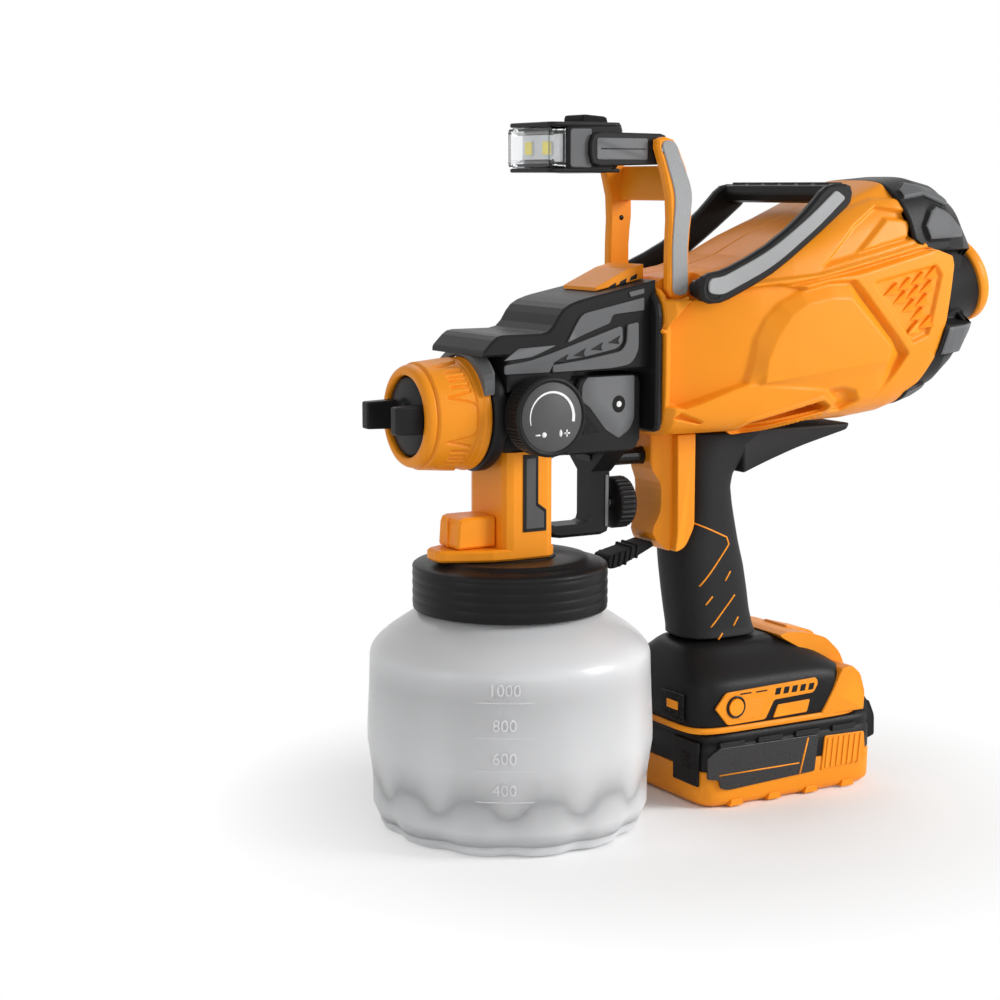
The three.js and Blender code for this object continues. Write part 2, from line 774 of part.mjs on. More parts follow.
const turnedOnDrum = (profile) => {
  const points = profile.map(([radius, along]) => new THREE.Vector2(radius, along));
  return placedOnDrum(new THREE.LatheGeometry(points, 24).applyMatrix4(AXES.x));
};

// The bulkheads in the shells that carry the motor.
function motorSeats() {
  const inside = housing(SHELL_WALL / 2);
  const bore = rod("x", [0, 0, MOTOR_Z], MOTOR_RADIUS + GAP, MOTOR_FRONT, 260, 20);
  return [MOTOR_FRONT + 6, MOTOR_FRONT + 40].map((x) => {
    const seat = inside.intersect(block(x, x + 3, -60, 60, 100, 400));
    return cut(seat, bore);
  });
}

function housingPieces() {
  const shell = cut(housing(0), housing(SHELL_WALL));
  const airWay = rod("x", NOZZLE, TUBE_BORE, BODY_FRONT - 2, BODY_FRONT + 6);
  const lampSlots = SIDES.map(([, side]) => {
    const [y0, y1] = onSide(side, ARM_INNER - 2 * GAP, ARM_OUTER + 2 * GAP);
    return block(ARM_PIVOT_X - 9, ARM_PIVOT_X + 10, y0, y1, ARM_PIVOT_Z - 9, DECK_Z + 20);
  });
  const pinBores = SIDES.map(([, side]) => {
    const [from, to] = onSide(side, CARRY_INNER - 12, CARRY_OUTER + 1);
    return rod("y", [CARRY_PIVOT_X, 0, CARRY_PIVOT_Z], CARRY_PIN_RADIUS + GAP, from, to);
  });
  const walls = join(cut(shell, tailRegion(-GAP)), ...motorSeats());
  const front = cut(walls, airWay, ...lampSlots, ...pinBores);
  for (const [name, side] of SIDES) {
    const [y0, y1] = onSide(side, GAP / 2, 60);
    piece("body_shell_" + name, front.intersect(block(0, 400, y0, y1, 0, 400)), orange);
  }
  const holeRadius = DRUM_RADIUS + GAP;
  const holeEnd = DRUM_LENGTH + 30;
  const drumHole = turnedOnDrum([[0, -60], [holeRadius, -60], [holeRadius, holeEnd], [0, holeEnd]]);
  piece("tail_cover", cut(shell.intersect(tailRegion(0)), drumHole), black);
}

function intake() {
  const bore = DRUM_RADIUS - DRUM_WALL;
  const drum = [
    [bore, 0],
    [DRUM_RADIUS, 0],
    [DRUM_RADIUS, DRUM_LENGTH - GAP],
    [bore, DRUM_LENGTH - GAP],
    [bore, 0],
  ];
  piece("intake_drum", turnedOnDrum(drum), black);
  const capEnd = DRUM_LENGTH + INTAKE_CAP_LENGTH;
  const capBore = bore - 3;
  const rim = [
    [capBore, DRUM_LENGTH],
    [INTAKE_CAP_RADIUS, DRUM_LENGTH],
    [INTAKE_CAP_RADIUS, capEnd - 1.5],
    [INTAKE_CAP_RADIUS - 1.5, capEnd],
    [capBore, capEnd],
    [capBore, DRUM_LENGTH],
  ];
  const bars = [0, 1, 2, 3].map((i) => {
    const bar = new THREE.BoxGeometry(2.4, 2 * capBore + 2, 2.4);
    bar.rotateX((i * Math.PI) / 4).translate(capEnd - 2.5, 0, 0);
    return placedOnDrum(bar);
  });
  piece("intake_cap", join(turnedOnDrum(rim), ...bars), orange);
  const filterEnd = DRUM_LENGTH - 1;
  const filterRadius = bore - GAP;
  piece(
    "intake_filter",
    turnedOnDrum([
      [0, filterEnd - FILTER_THICKNESS],
      [filterRadius, filterEnd - FILTER_THICKNESS],
      [filterRadius, filterEnd],
      [0, filterEnd],
    ]),
    foam,
  );
}

function turbine() {
  const axis = [0, 0, MOTOR_Z];
  const shaft = 3;
  const rear = MOTOR_FRONT + MOTOR_LENGTH;
  const bearing = rod("x", axis, shaft + GAP, MOTOR_FRONT - 1, MOTOR_FRONT + 22);
  piece("motor", cut(rod("x", axis, MOTOR_RADIUS, MOTOR_FRONT, rear, 20), bearing), copper);
  const impellerRear = IMPELLER_FRONT + IMPELLER_WIDTH;
  const disc = rod("x", axis, IMPELLER_RADIUS, impellerRear - 3, impellerRear, 20);
  const hubRadius = 8;
  const hub = rod("x", axis, hubRadius, IMPELLER_FRONT, MOTOR_FRONT - GAP);
  const spindle = rod("x", axis, shaft, IMPELLER_FRONT, MOTOR_FRONT + 20);
  const blades = Array.from({ length: 8 }, (_, i) => {
    const blade = new THREE.BoxGeometry(IMPELLER_WIDTH - 2, 1.6, IMPELLER_RADIUS - 7);
    blade.translate(IMPELLER_FRONT + IMPELLER_WIDTH / 2, 0, (IMPELLER_RADIUS + 5) / 2);
    return solid(blade.rotateX((i * Math.PI) / 4).translate(0, 0, MOTOR_Z));
  });
  piece("impeller", join(disc, hub, spindle, ...blades), grey);
  const collector = IMPELLER_RADIUS + 2;
  const wall = 1.6;
  const volute = turned(
    [
      [collector, IMPELLER_FRONT - 6],
      [collector + wall, IMPELLER_FRONT - 6],
      [collector + wall, impellerRear + 2],
      [collector, impellerRear + 2],
      [collector, IMPELLER_FRONT - 6],
    ],
    "x",
    axis,
    20,
  );
  const faceFront = IMPELLER_FRONT - 6;
  const face = rod("x", axis, collector + wall, faceFront - wall, faceFront, 20);
  const ductStations = (radius, inset) =>
    [
      [BODY_FRONT + SHELL_WALL + GAP - inset, NOZZLE_Z + 1.5],
      [BODY_FRONT + 20, NOZZLE_Z + 5],
      [faceFront + inset, NOZZLE_Z + 25],
    ].map(([x, z]) => ring(radius, radius, 2, (u, v) => new THREE.Vector3(x, u, z + v), 16));
  const duct = loft(ductStations(TUBE_BORE + wall, 0));
  const ductBore = loft(ductStations(TUBE_BORE, 2));
  piece("air_duct", cut(join(volute, face, duct), ductBore), grey);
}

// ---- handle, foot and battery ----

function handleColumn() {
  const top = BODY_BOTTOM - GAP;
  const column = sidePlate(
    [
      [COLUMN_FRONT, top],
      [COLUMN_FRONT, PLUNGER_Z - 6, 4],
      [COLUMN_FRONT + COLUMN_WAIST, PLUNGER_Z - 12, 4],
      [COLUMN_FRONT + COLUMN_WAIST, COLUMN_BOTTOM + 19, 4],
      [COLUMN_FRONT, COLUMN_BOTTOM + 9, 4],
      [COLUMN_FRONT + 8, COLUMN_BOTTOM, 4],
      [COLUMN_FRONT + 14, COLUMN_BOTTOM + 3, 4],
      [COLUMN_FRONT + 19, COLUMN_BOTTOM + 12, 4],
      [COLUMN_FRONT + 19, top],
    ],
    -COLUMN_HALF_WIDTH,
    COLUMN_HALF_WIDTH,
    1.2,
  );
  const nose = floorPlate(
    [
      [COLUMN_FRONT - 1, -COLUMN_NOSE_HALF_WIDTH, 2],
      [COLUMN_FRONT + 8, -COLUMN_HALF_WIDTH, 4],
      [COLUMN_FRONT + 20, -COLUMN_HALF_WIDTH],
      [COLUMN_FRONT + 20, COLUMN_HALF_WIDTH],
      [COLUMN_FRONT + 8, COLUMN_HALF_WIDTH, 4],
      [COLUMN_FRONT - 1, COLUMN_NOSE_HALF_WIDTH, 2],
    ],
    COLUMN_BOTTOM - 1,
    top + 1,
  );
  const plungerBore = rod("x", [0, 0, PLUNGER_Z], PLUNGER_RADIUS + GAP, 60, 110, 20);
  piece("handle_front", cut(column.intersect(nose), plungerBore), orange);
}

function grips() {
  const top = BODY_BOTTOM - GAP;
  const column = COLUMN_FRONT + 19 + GAP;
  const corners = (inset) => [
    [column + inset, top - inset],
    [130 - inset, top - inset],
    [119 - inset, 158, 10],
    [113.5 - inset, 148, 8],
    [119 - inset, 126, 20],
    [127 - inset, 98, 20],
    [132 - inset, FOOT_TOP + GAP + inset],
    [91 + inset, FOOT_TOP + GAP + inset],
    [84 + inset, 117, 6],
    [column + inset, COLUMN_BOTTOM + 9 - GAP, 3],
  ];
  const handle = sidePlate(corners(0), -GRIP_HALF_WIDTH, GRIP_HALF_WIDTH, 4);
  const strip = sidePlate(
    [
      [124, top],
      [178, top],
      [178, 172, 2],
      [134, 161, 12],
      [118, 157],
    ],
    -GRIP_HALF_WIDTH,
    GRIP_HALF_WIDTH,
    1,
  );
  const outer = join(handle, strip);
  const inner = GRIP_HALF_WIDTH - SHELL_WALL;
  const hollow = sidePlate(corners(SHELL_WALL), -inner, inner, 2);
  const plungerBore = rod("x", [0, 0, PLUNGER_Z], PLUNGER_RADIUS + GAP, 60, 110, 20);
  const columnSpace = sidePlate(
    [
      [COLUMN_FRONT, top + 1],
      [COLUMN_FRONT, COLUMN_BOTTOM + 9 - GAP],
      [COLUMN_FRONT + 8, COLUMN_BOTTOM - GAP],
      [COLUMN_FRONT + 14 + GAP, COLUMN_BOTTOM + 3 - GAP],
      [column, COLUMN_BOTTOM + 12 - GAP],
      [column, top + 1],
    ],
    -COLUMN_HALF_WIDTH - GAP,
    COLUMN_HALF_WIDTH + GAP,
  );
  const grip = cut(outer, hollow, plungerBore, columnSpace);
  for (const [name, side] of SIDES) {
    const [y0, y1] = onSide(side, GAP / 2, 60);
    piece("grip_" + name, grip.intersect(block(0, 400, y0, y1, 0, 400)), black);
  }
}

function ribbedBoot() {
  const half = 7;
  const arm = sidePlate(
    [
      [COLLAR_RADIUS + 4, 112.5, 2],
      [COLLAR_RADIUS + 4, 119, 2],
      [61, COLUMN_BOTTOM + 8, 4],
      [COLUMN_FRONT - 2 * GAP, COLUMN_BOTTOM + 8.5],
      [COLUMN_FRONT + 7, COLUMN_BOTTOM],
      [COLUMN_FRONT + 5, COLUMN_BOTTOM - 4, 2],
      [58, 112.5, 4],
    ],
    -half,
    half,
    1.5,
  );
  piece("ribbed_boot", arm, rubber);
}

// Levels of the foot: [z, front, rear, half width, squareness].
const FOOT_LEVELS = [
  [FOOT_BOTTOM, 79, 176, FOOT_HALF_WIDTH, 8],
  [46, 78, 176, FOOT_HALF_WIDTH, 8],
  [56, 79, 172, FOOT_HALF_WIDTH, 7],
  [62, 81, 163, 33, 6],
  [68, 84, 155, 27, 4],
  [FOOT_TOP, 89, 143, 19, 3],
];

function footForm(inset) {
  const levels = FOOT_LEVELS.map(([z, front, rear, half, power], i) => {
    const middle = (front + rear) / 2;
    const length = (rear - front) / 2 - inset;
    const drop = i === 0 ? -inset : i === FOOT_LEVELS.length - 1 ? -inset : 0;
    return ring(length, half - inset, power, (u, v) => new THREE.Vector3(middle + u, v, z + drop));
  });
  return loft(levels);
}

function foot() {
  const shell = cut(footForm(0), footForm(SHELL_WALL));
  const bandFront = 152;
  const bandHalf = 20;
  const bandSpace = block(bandFront - GAP, 200, -bandHalf - GAP, bandHalf + GAP, 0, 100);
  const band = footForm(0).intersect(block(bandFront, 200, -bandHalf, bandHalf, 0, 100));
  piece("foot_band", cut(band, footForm(SHELL_WALL)), orange);
  const panelY = -FOOT_HALF_WIDTH;
  const panelX0 = 92;
  const panelX1 = 147;
  const panelZ0 = 40;
  const panelZ1 = 57;
  const panelCorners = (grow) => [
    [panelX0 - grow, panelZ0 - grow, 3],
    [panelX1 + grow, panelZ0 - grow, 3],
    [panelX1 + grow, panelZ1 + grow, 3],
    [panelX0 - grow, panelZ1 + grow, 3],
  ];
  const panelSpace = sidePlate(panelCorners(GAP), panelY - 2, panelY + 1.4);
  const buttonX = 100;
  const buttonZ = 48;
  const buttonRadius = 4;
  const buttonAxis = [buttonX, 0, buttonZ];
  const buttonSpace = rod("y", buttonAxis, buttonRadius + GAP, panelY - 3, panelY + 8);
  piece("foot", cut(shell, bandSpace, panelSpace, buttonSpace), black);
  const panel = sidePlate(panelCorners(0), panelY - 0.8, panelY + 1.1);
  piece("indicator_panel", cut(panel, buttonSpace), orange);
  piece("indicator_button", rod("y", buttonAxis, buttonRadius, panelY - 1.8, panelY + 3.5, 20), rubber);
  const boardTop = FOOT_BOTTOM + 14;
  piece("control_board", block(90, 150, -22, 22, boardTop - 1.6, boardTop), grey);
  const terminals = block(100, 140, -12, 12, FOOT_BOTTOM + GAP, boardTop - 1.6 - GAP);
  piece("battery_terminals", terminals, black);
}

function battery() {
  const half = BATTERY_HALF_WIDTH;
  const middle = (BATTERY_FRONT + BATTERY_REAR) / 2;
  const length = (BATTERY_REAR - BATTERY_FRONT) / 2;
  const level = (z, shrink) =>
    ring(length - shrink, half - shrink, 9, (u, v) => new THREE.Vector3(middle + u, v, z));
  const wall = SHELL_WALL;
  const top = FOOT_BOTTOM - GAP;
  const roomLength = length - wall - 1.2;
  const roomHalf = half - wall - 0.2;
  const room = (z0, z1) =>
    block(middle - roomLength, middle + roomLength, -roomHalf, roomHalf, z0, z1);
  const lowerForm = loft([level(0, 3), level(3, 0), level(BATTERY_SPLIT, 0)]);
  piece("battery_lower_case", cut(lowerForm, room(wall, BATTERY_SPLIT + 1)), orange);
  const upperBottom = BATTERY_SPLIT + GAP;
  const upperForm = loft([level(upperBottom, 0), level(top - 3, 0), level(top, 2.5)]);
  const hump = sidePlate(
    [
      [177, top - 6],
      [177, 46],
      [181, 44],
      [188, 32],
      [188, top - 14],
      [BATTERY_REAR - 4, top - 16],
    ],
    6 - half,
    half - 6,
    1,
  );
  const latchSpace = block(BATTERY_REAR - 5, BATTERY_REAR + 10, -9 - GAP, 9 + GAP, 21, 30);
  const upper = cut(join(upperForm, hump), room(upperBottom - 1, top - wall), latchSpace);
  piece("battery_upper_case", upper, black);
  const latchRear = BATTERY_REAR + 2.6;
  piece("battery_latch", block(BATTERY_REAR - 2, latchRear, -9, 9, 21 + GAP, 30 - GAP), grey);
  const pitch = (2 * (roomLength - GAP - CELL_RADIUS)) / (CELL_COUNT - 1);
  const cellZ = wall + GAP + CELL_RADIUS;
  const end = CELL_LENGTH / 2;
  const cells = Array.from({ length: CELL_COUNT }, (_, i) => {
    const x = middle + (i - (CELL_COUNT - 1) / 2) * pitch;
    return rod("y", [x, 0, cellZ], CELL_RADIUS, -end, end, 12);
  });
  const stripHalf = ((CELL_COUNT - 1) * pitch) / 2 + 4;
  const strips = SIDES.map(([, side]) => {
    const [y0, y1] = onSide(side, end - 0.4, end + 0.3);
    return block(middle - stripHalf, middle + stripHalf, y0, y1, cellZ - 4, cellZ + 4);
  });
  piece("battery_cells", join(...cells, ...strips), steel);
}

// ---- carrying handle ----

function carryHandle() {
  const x = CARRY_PIVOT_X;
  const z = CARRY_PIVOT_Z;
  const arms = SIDES.map(([, side]) => {
    const [y0, y1] = onSide(side, CARRY_INNER, CARRY_OUTER);
    return sidePlate(
      [
        [x - 7, z - 6, 5],
        [x + 4, z - 6.5, 5],
        [x + 33, z + 6, 12],
        [x + 60, z + 25, 10],
        [x + 77, z + 38, 3],
        [x + 77, z + 46.5, 4],
        [x + 62, z + 46.5, 5],
        [x + 50, z + 34, 10],
        [x + 29, z + 18.5, 12],
        [x + 4, z + 8, 5],
        [x - 7, z + 7, 5],
      ],
      y0,
      y1,
      1.2,
    );
  });
  const bar = sidePlate(
    [
      [x + 64, z + 37.5, 4],
      [x + 77, z + 38, 4],
      [x + 77, z + 46.5, 4],
      [x + 63, z + 46.5, 4],
    ],
    -CARRY_OUTER + 1,
    CARRY_OUTER - 1,
  );
  const pivot = [x, 0, z];
  const bore = rod("y", pivot, CARRY_PIN_RADIUS + GAP, -CARRY_OUTER - 1, CARRY_OUTER + 1);
  piece("carry_handle", cut(join(...arms, bar), bore), black);
  for (const [name, side] of SIDES) {
    const [from, to] = onSide(side, CARRY_INNER - 10, CARRY_OUTER);
    piece("handle_pin_" + name, rod("y", pivot, CARRY_PIN_RADIUS, from, to, 20), steel);
  }
}

// ---- work lamp ----

function lampFrame() {
  const arms = SIDES.map(([, side]) => {
    const [y0, y1] = onSide(side, ARM_INNER, ARM_OUTER);
    return sidePlate(
      [
        [ARM_PIVOT_X - 6, ARM_PIVOT_Z - 6, 5],
        [ARM_PIVOT_X + 6, ARM_PIVOT_Z - 6, 5],
        [ARM_PIVOT_X + 5, ARM_PIVOT_Z + 18, 8],
        [ARM_PIVOT_X + 8, ARM_PIVOT_Z + 42, 12],
        [LAMP_PIVOT_X + 5, LAMP_PIVOT_Z + 5, 5],
        [LAMP_PIVOT_X - 6, LAMP_PIVOT_Z + 5, 5],
        [ARM_PIVOT_X - 5, ARM_PIVOT_Z + 40, 12],
        [ARM_PIVOT_X - 6, ARM_PIVOT_Z + 18, 8],
      ],
      y0,
      y1,
      1,
    );
  });
  const web = sidePlate(
    [
      [ARM_PIVOT_X - 1, ARM_PIVOT_Z + 38, 1],
      [ARM_PIVOT_X + 7, ARM_PIVOT_Z + 38, 2],
      [ARM_PIVOT_X + 7, ARM_PIVOT_Z + 48, 2],
      [ARM_PIVOT_X + 2, ARM_PIVOT_Z + 54, 1],
    ],
    -ARM_INNER - 1,
    ARM_INNER + 1,
  );
  const lowBore = rod("y", [ARM_PIVOT_X, 0, ARM_PIVOT_Z], PIN_RADIUS + GAP, -40, 40);
  const highBore = rod("y", [LAMP_PIVOT_X, 0, LAMP_PIVOT_Z], PIN_RADIUS + GAP, -40, 40);
  piece("lamp_frame", cut(join(...arms, web), lowBore, highBore), orange);
  for (const [name, side] of SIDES) {
    const [from, to] = onSide(side, ARM_INNER - 0.4, ARM_OUTER + 0.4);
    const lowAxis = [ARM_PIVOT_X, 0, ARM_PIVOT_Z];
    piece("frame_pin_" + name, rod("y", lowAxis, PIN_RADIUS, from, to), steel);
    const [lampFrom, lampTo] = onSide(side, LAMP_HALF_WIDTH - 3, ARM_OUTER);
    const highAxis = [LAMP_PIVOT_X, 0, LAMP_PIVOT_Z];
    piece("lamp_pin_" + name, rod("y", highAxis, PIN_RADIUS, lampFrom, lampTo), steel);
  }
}

function lampHead() {
  const half = LAMP_HALF_WIDTH;
  const caseFront = LAMP_FRONT + LENS_DEPTH;
  const shell = sidePlate(
    [
      [caseFront, LAMP_BOTTOM + 1, 1],
      [LAMP_REAR - 6, LAMP_BOTTOM, 4],
      [LAMP_REAR, LAMP_BOTTOM + 5, 4],
      [LAMP_REAR, LAMP_TOP, 3],
      [caseFront, LAMP_TOP - 1, 2],
    ],
    -half,
    half,
    1.5,
  );
  const links = SIDES.map(([, side]) => {
    const [y0, y1] = onSide(side, half - 2, ARM_INNER - GAP);
    return sidePlate(
      [
        [28, LAMP_BOTTOM + 3, 5],
        [LAMP_PIVOT_X + 4, LAMP_BOTTOM + 4, 5],
        [LAMP_PIVOT_X + 5.5, LAMP_PIVOT_Z, 4],
        [LAMP_PIVOT_X + 4, LAMP_TOP - 4.5, 5],
        [28, LAMP_TOP - 4, 5],
      ],
      y0,
      y1,
      0.6,
    );
  });
  const pinBore = rod("y", [LAMP_PIVOT_X, 0, LAMP_PIVOT_Z], PIN_RADIUS + GAP, -40, 40);
  const buttonX0 = 32;
  const buttonHalf = 8;
  const pocket = block(
    buttonX0 - GAP,
    LAMP_REAR - 1,
    -buttonHalf - GAP,
    buttonHalf + GAP,
    LAMP_TOP - 4,
    LAMP_TOP + 2,
  );
  piece("lamp_head", cut(join(shell, ...links), pinBore, pocket), black);
  const button = sidePlate(
    [
      [buttonX0, LAMP_TOP - 4 + 1.5],
      [LAMP_REAR - 1 - GAP, LAMP_TOP - 4 + 1.5],
      [LAMP_REAR - 1 - GAP, LAMP_TOP + 3, 2],
      [buttonX0, LAMP_TOP + 4, 2],
    ],
    -buttonHalf,
    buttonHalf,
    0.8,
  );
  piece("lamp_button", button, rubber);
  const lensRear = caseFront - GAP;
  const lensForm = (inset, rear) =>
    sidePlate(
      [
        [LAMP_FRONT + inset, LAMP_BOTTOM + 2.5 + inset, 2],
        [rear, LAMP_BOTTOM + 2 + inset],
        [rear, LAMP_TOP - 2 - inset],
        [LAMP_FRONT + inset, LAMP_TOP - 2 - inset, 2],
      ],
      -half + 0.5 + inset,
      half - 0.5 - inset,
      1,
    );
  piece("lamp_lens", cut(lensForm(0, lensRear), lensForm(LENS_WALL, lensRear + 3)), clear);
  const boardRear = lensRear - GAP;
  const board = block(boardRear - 1.6, boardRear, -15, 15, LAMP_BOTTOM + 5, LAMP_TOP - 5);
  const lights = SIDES.map(([, side]) => {
    const [y0, y1] = onSide(side, 5, 10);
    const z = (LAMP_BOTTOM + LAMP_TOP) / 2;
    return block(boardRear - 3, boardRear - 1, y0, y1, z - 3, z + 3);
  });
  piece("lamp_board", join(board, ...lights), grey);
}

bottle();
collar();
lidAndPickup();
neck();
headBody();
nozzle();
headCover();
releaseLatch();
patternDial();
trigger();
switchGroup();
housingPieces();
intake();
turbine();
handleColumn();
grips();
ribbedBoot();
foot();
battery();
carryHandle();
lampFrame();
lampHead();

export default root;
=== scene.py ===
"""The looks of a cordless paint sprayer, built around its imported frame. Metres, +Z up: the nozzle
points towards -X and the side with the pattern dial is -Y. Small sizes are written in millimetres
and turned into metres by MM."""
import math

import bmesh
import bpy
from mathutils import Matrix, Vector


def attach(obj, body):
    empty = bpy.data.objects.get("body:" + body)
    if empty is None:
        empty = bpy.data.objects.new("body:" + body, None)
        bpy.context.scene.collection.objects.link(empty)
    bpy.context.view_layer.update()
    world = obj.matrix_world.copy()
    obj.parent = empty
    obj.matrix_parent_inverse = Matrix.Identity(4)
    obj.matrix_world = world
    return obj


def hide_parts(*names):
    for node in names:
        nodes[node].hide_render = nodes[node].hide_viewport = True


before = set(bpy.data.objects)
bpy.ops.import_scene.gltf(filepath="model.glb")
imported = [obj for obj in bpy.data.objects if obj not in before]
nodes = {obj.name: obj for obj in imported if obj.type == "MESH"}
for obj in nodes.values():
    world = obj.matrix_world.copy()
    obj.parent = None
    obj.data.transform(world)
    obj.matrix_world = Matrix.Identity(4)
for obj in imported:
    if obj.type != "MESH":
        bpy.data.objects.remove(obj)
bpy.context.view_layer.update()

MM = 0.001
SIDES = (("left", -1), ("right", 1))

# ---- camera ----

CAMERA_PLACE = (-463.4, -801.4, 287.6)
CAMERA_TARGET = (-5.23, 0.0, 148.4)
LENS = 75.0
SENSOR = 36.0


def linked(name, data):
    """A new object in the scene."""
    made = bpy.data.objects.new(name, data)
    bpy.context.scene.collection.objects.link(made)
    return made


def add_camera():
    data = bpy.data.cameras.new("camera")
    data.lens = LENS
    data.sensor_width = SENSOR
    data.clip_start = 0.05
    camera = linked("camera", data)
    camera.location = Vector(CAMERA_PLACE) * MM
    towards = (Vector(CAMERA_TARGET) - Vector(CAMERA_PLACE)).to_track_quat("-Z", "Y")
    camera.rotation_euler = towards.to_euler()
    bpy.context.scene.camera = camera


# ---- materials ----


def node_of(tree, kind, **inputs):
    made = tree.nodes.new(kind)
    for name, value in inputs.items():
        made.inputs[name].default_value = value
    return made


def noise(tree, scale, detail=3.0):
    place = tree.nodes.new("ShaderNodeTexCoord")
    made = node_of(tree, "ShaderNodeTexNoise", Scale=scale, Detail=detail)
    tree.links.new(place.outputs["Object"], made.inputs["Vector"])
    return made.outputs["Fac"]


def spread(tree, value, low, high, start=0.3, end=0.7):
    made = tree.nodes.new("ShaderNodeMapRange")
    made.inputs["From Min"].default_value = start
    made.inputs["From Max"].default_value = end
    made.inputs["To Min"].default_value = low
    made.inputs["To Max"].default_value = high
    tree.links.new(value, made.inputs["Value"])
    return made.outputs["Result"]


def mixed(tree, factor, first, second):
    made = tree.nodes.new("ShaderNodeMix")
    made.data_type = "RGBA"
    made.inputs[6].default_value = (*first, 1)
    made.inputs[7].default_value = (*second, 1)
    tree.links.new(factor, made.inputs[0])
    return made.outputs[2]


def bumped(tree, shader, layers):
    """Adds bumps to the shader's normal, each layer (height, strength, distance)."""
    last = None
    for height, strength, distance in layers:
        bump = node_of(tree, "ShaderNodeBump", Strength=strength, Distance=distance)
        tree.links.new(height, bump.inputs["Height"])
        if last:
            tree.links.new(last, bump.inputs["Normal"])
        last = bump.outputs["Normal"]
    tree.links.new(last, shader.inputs["Normal"])


def shade(colour, factor):
    return tuple(channel * factor for channel in colour)


def surface(name, colour, roughness, grain, depth, worn=1.25, blotch=0.94, metal=0.0, coat=0.0, sheen=0.35):
    """A moulded or machined surface: fine grain, slow variation of colour, and paler worn edges."""
    material = bpy.data.materials.new(name)
    material.use_nodes = True
    tree = material.node_tree
    shader = tree.nodes["Principled BSDF"]
    shader.inputs["Metallic"].default_value = metal
    shader.inputs["Coat Weight"].default_value = coat
    shader.inputs["Specular IOR Level"].default_value = sheen
    slow = noise(tree, 18.0)
    base = mixed(tree, spread(tree, slow, 0, 1), colour, shade(colour, blotch))
    geometry = tree.nodes.new("ShaderNodeNewGeometry")
    edge = spread(tree, geometry.outputs["Pointiness"], 0, 1, 0.53, 0.62)
    wear = tree.nodes.new("ShaderNodeMix")
    wear.data_type = "RGBA"
    tree.links.new(edge, wear.inputs[0])
    tree.links.new(base, wear.inputs[6])
    wear.inputs[7].default_value = (*(min(1, c) for c in shade(colour, worn)), 1)
    tree.links.new(wear.outputs[2], shader.inputs["Base Color"])
    fine = noise(tree, grain, 2.0)
    tree.links.new(spread(tree, fine, roughness - 0.06, roughness + 0.06), shader.inputs["Roughness"])
    bumped(tree, shader, [(fine, 0.5, depth)])
    return material


ORANGE_COLOUR = (0.90, 0.30, 0.012)
BLACK_COLOUR = (0.0095, 0.0095, 0.010)
GREY_COLOUR = (0.11, 0.112, 0.115)

orange = surface("orange_plastic", ORANGE_COLOUR, 0.42, 900, 0.00004, worn=1.1, coat=0.03, sheen=0.2)
orange_soft = surface("orange_satin", ORANGE_COLOUR, 0.46, 1500, 0.00006, worn=1.1, sheen=0.3)
black = surface("black_plastic", BLACK_COLOUR, 0.42, 1300, 0.00006, worn=2.6, sheen=0.14)
black_gloss = surface("black_gloss", (0.006, 0.006, 0.006), 0.25, 700, 0.00002, worn=1.6, coat=0.05,
                      sheen=0.2)
grip_rubber = surface("grip_rubber", (0.020, 0.020, 0.021), 0.58, 1900, 0.00014, worn=1.8, sheen=0.15)
grey = surface("grey_grained", GREY_COLOUR, 0.5, 1700, 0.00016, worn=1.5, sheen=0.2)
dark_grey = surface("dial_face_grey", (0.088, 0.088, 0.090), 0.5, 1500, 0.00004, worn=1.2, sheen=0.15)
silver = surface("silver_inlay", (0.36, 0.365, 0.37), 0.5, 1500, 0.0003, worn=1.2, blotch=0.8, sheen=0.25)
label_black = surface("label_black", (0.022, 0.022, 0.023), 0.32, 700, 0.00002, worn=1.4, sheen=0.4)
mark_white = surface("mark_white", (0.80, 0.80, 0.81), 0.4, 700, 0.00002, worn=1.05)
rubber = surface("matt_rubber", (0.009, 0.009, 0.0095), 0.7, 1500, 0.0001, worn=1.6, sheen=0.12)
steel = surface("turned_steel", (0.58, 0.58, 0.59), 0.28, 2400, 0.00003, worn=1.1, metal=1.0)
motor_metal = surface("motor_can", (0.42, 0.42, 0.43), 0.35, 1500, 0.00004, worn=1.1, metal=1.0)
cell_sleeve = surface("cell_sleeve", (0.07, 0.22, 0.12), 0.3, 600, 0.00002, worn=1.1)
foam = surface("open_foam", (0.03, 0.03, 0.03), 0.95, 1100, 0.0006, worn=1.3)
white_ink = surface("white_ink", (0.85, 0.85, 0.84), 0.5, 900, 0.00002, worn=1.0)
led_yellow = surface("led_phosphor", (0.93, 0.78, 0.08), 0.4, 900, 0.00002, worn=1.0)
reflector = surface("lamp_reflector", (0.72, 0.73, 0.74), 0.3, 800, 0.00003, worn=1.1)


def milky_plastic():
    """Blow-moulded natural plastic: milky, with a soft sheen."""
    material = surface("bottle_milk", (0.74, 0.75, 0.765), 0.34, 500, 0.00005, worn=1.05, blotch=0.97,
                       coat=0.15)
    tree = material.node_tree
    shader = tree.nodes["Principled BSDF"]
    shader.inputs["Subsurface Weight"].default_value = 0.5
    shader.inputs["Subsurface Radius"].default_value = (0.02, 0.02, 0.02)
    shader.inputs["Subsurface Scale"].default_value = 0.6
    return material


def clear_plastic():
    material = bpy.data.materials.new("lens_clear")
    material.use_nodes = True
    tree = material.node_tree
    shader = tree.nodes["Principled BSDF"]
    shader.inputs["Base Color"].default_value = (0.95, 0.96, 0.97, 1)
    shader.inputs["Transmission Weight"].default_value = 1.0
    shader.inputs["IOR"].default_value = 1.4
    fine = noise(tree, 160.0)
    tree.links.new(spread(tree, fine, 0.03, 0.09), shader.inputs["Roughness"])
    return material


milky = milky_plastic()
clear = clear_plastic()


# ---- shapes ----


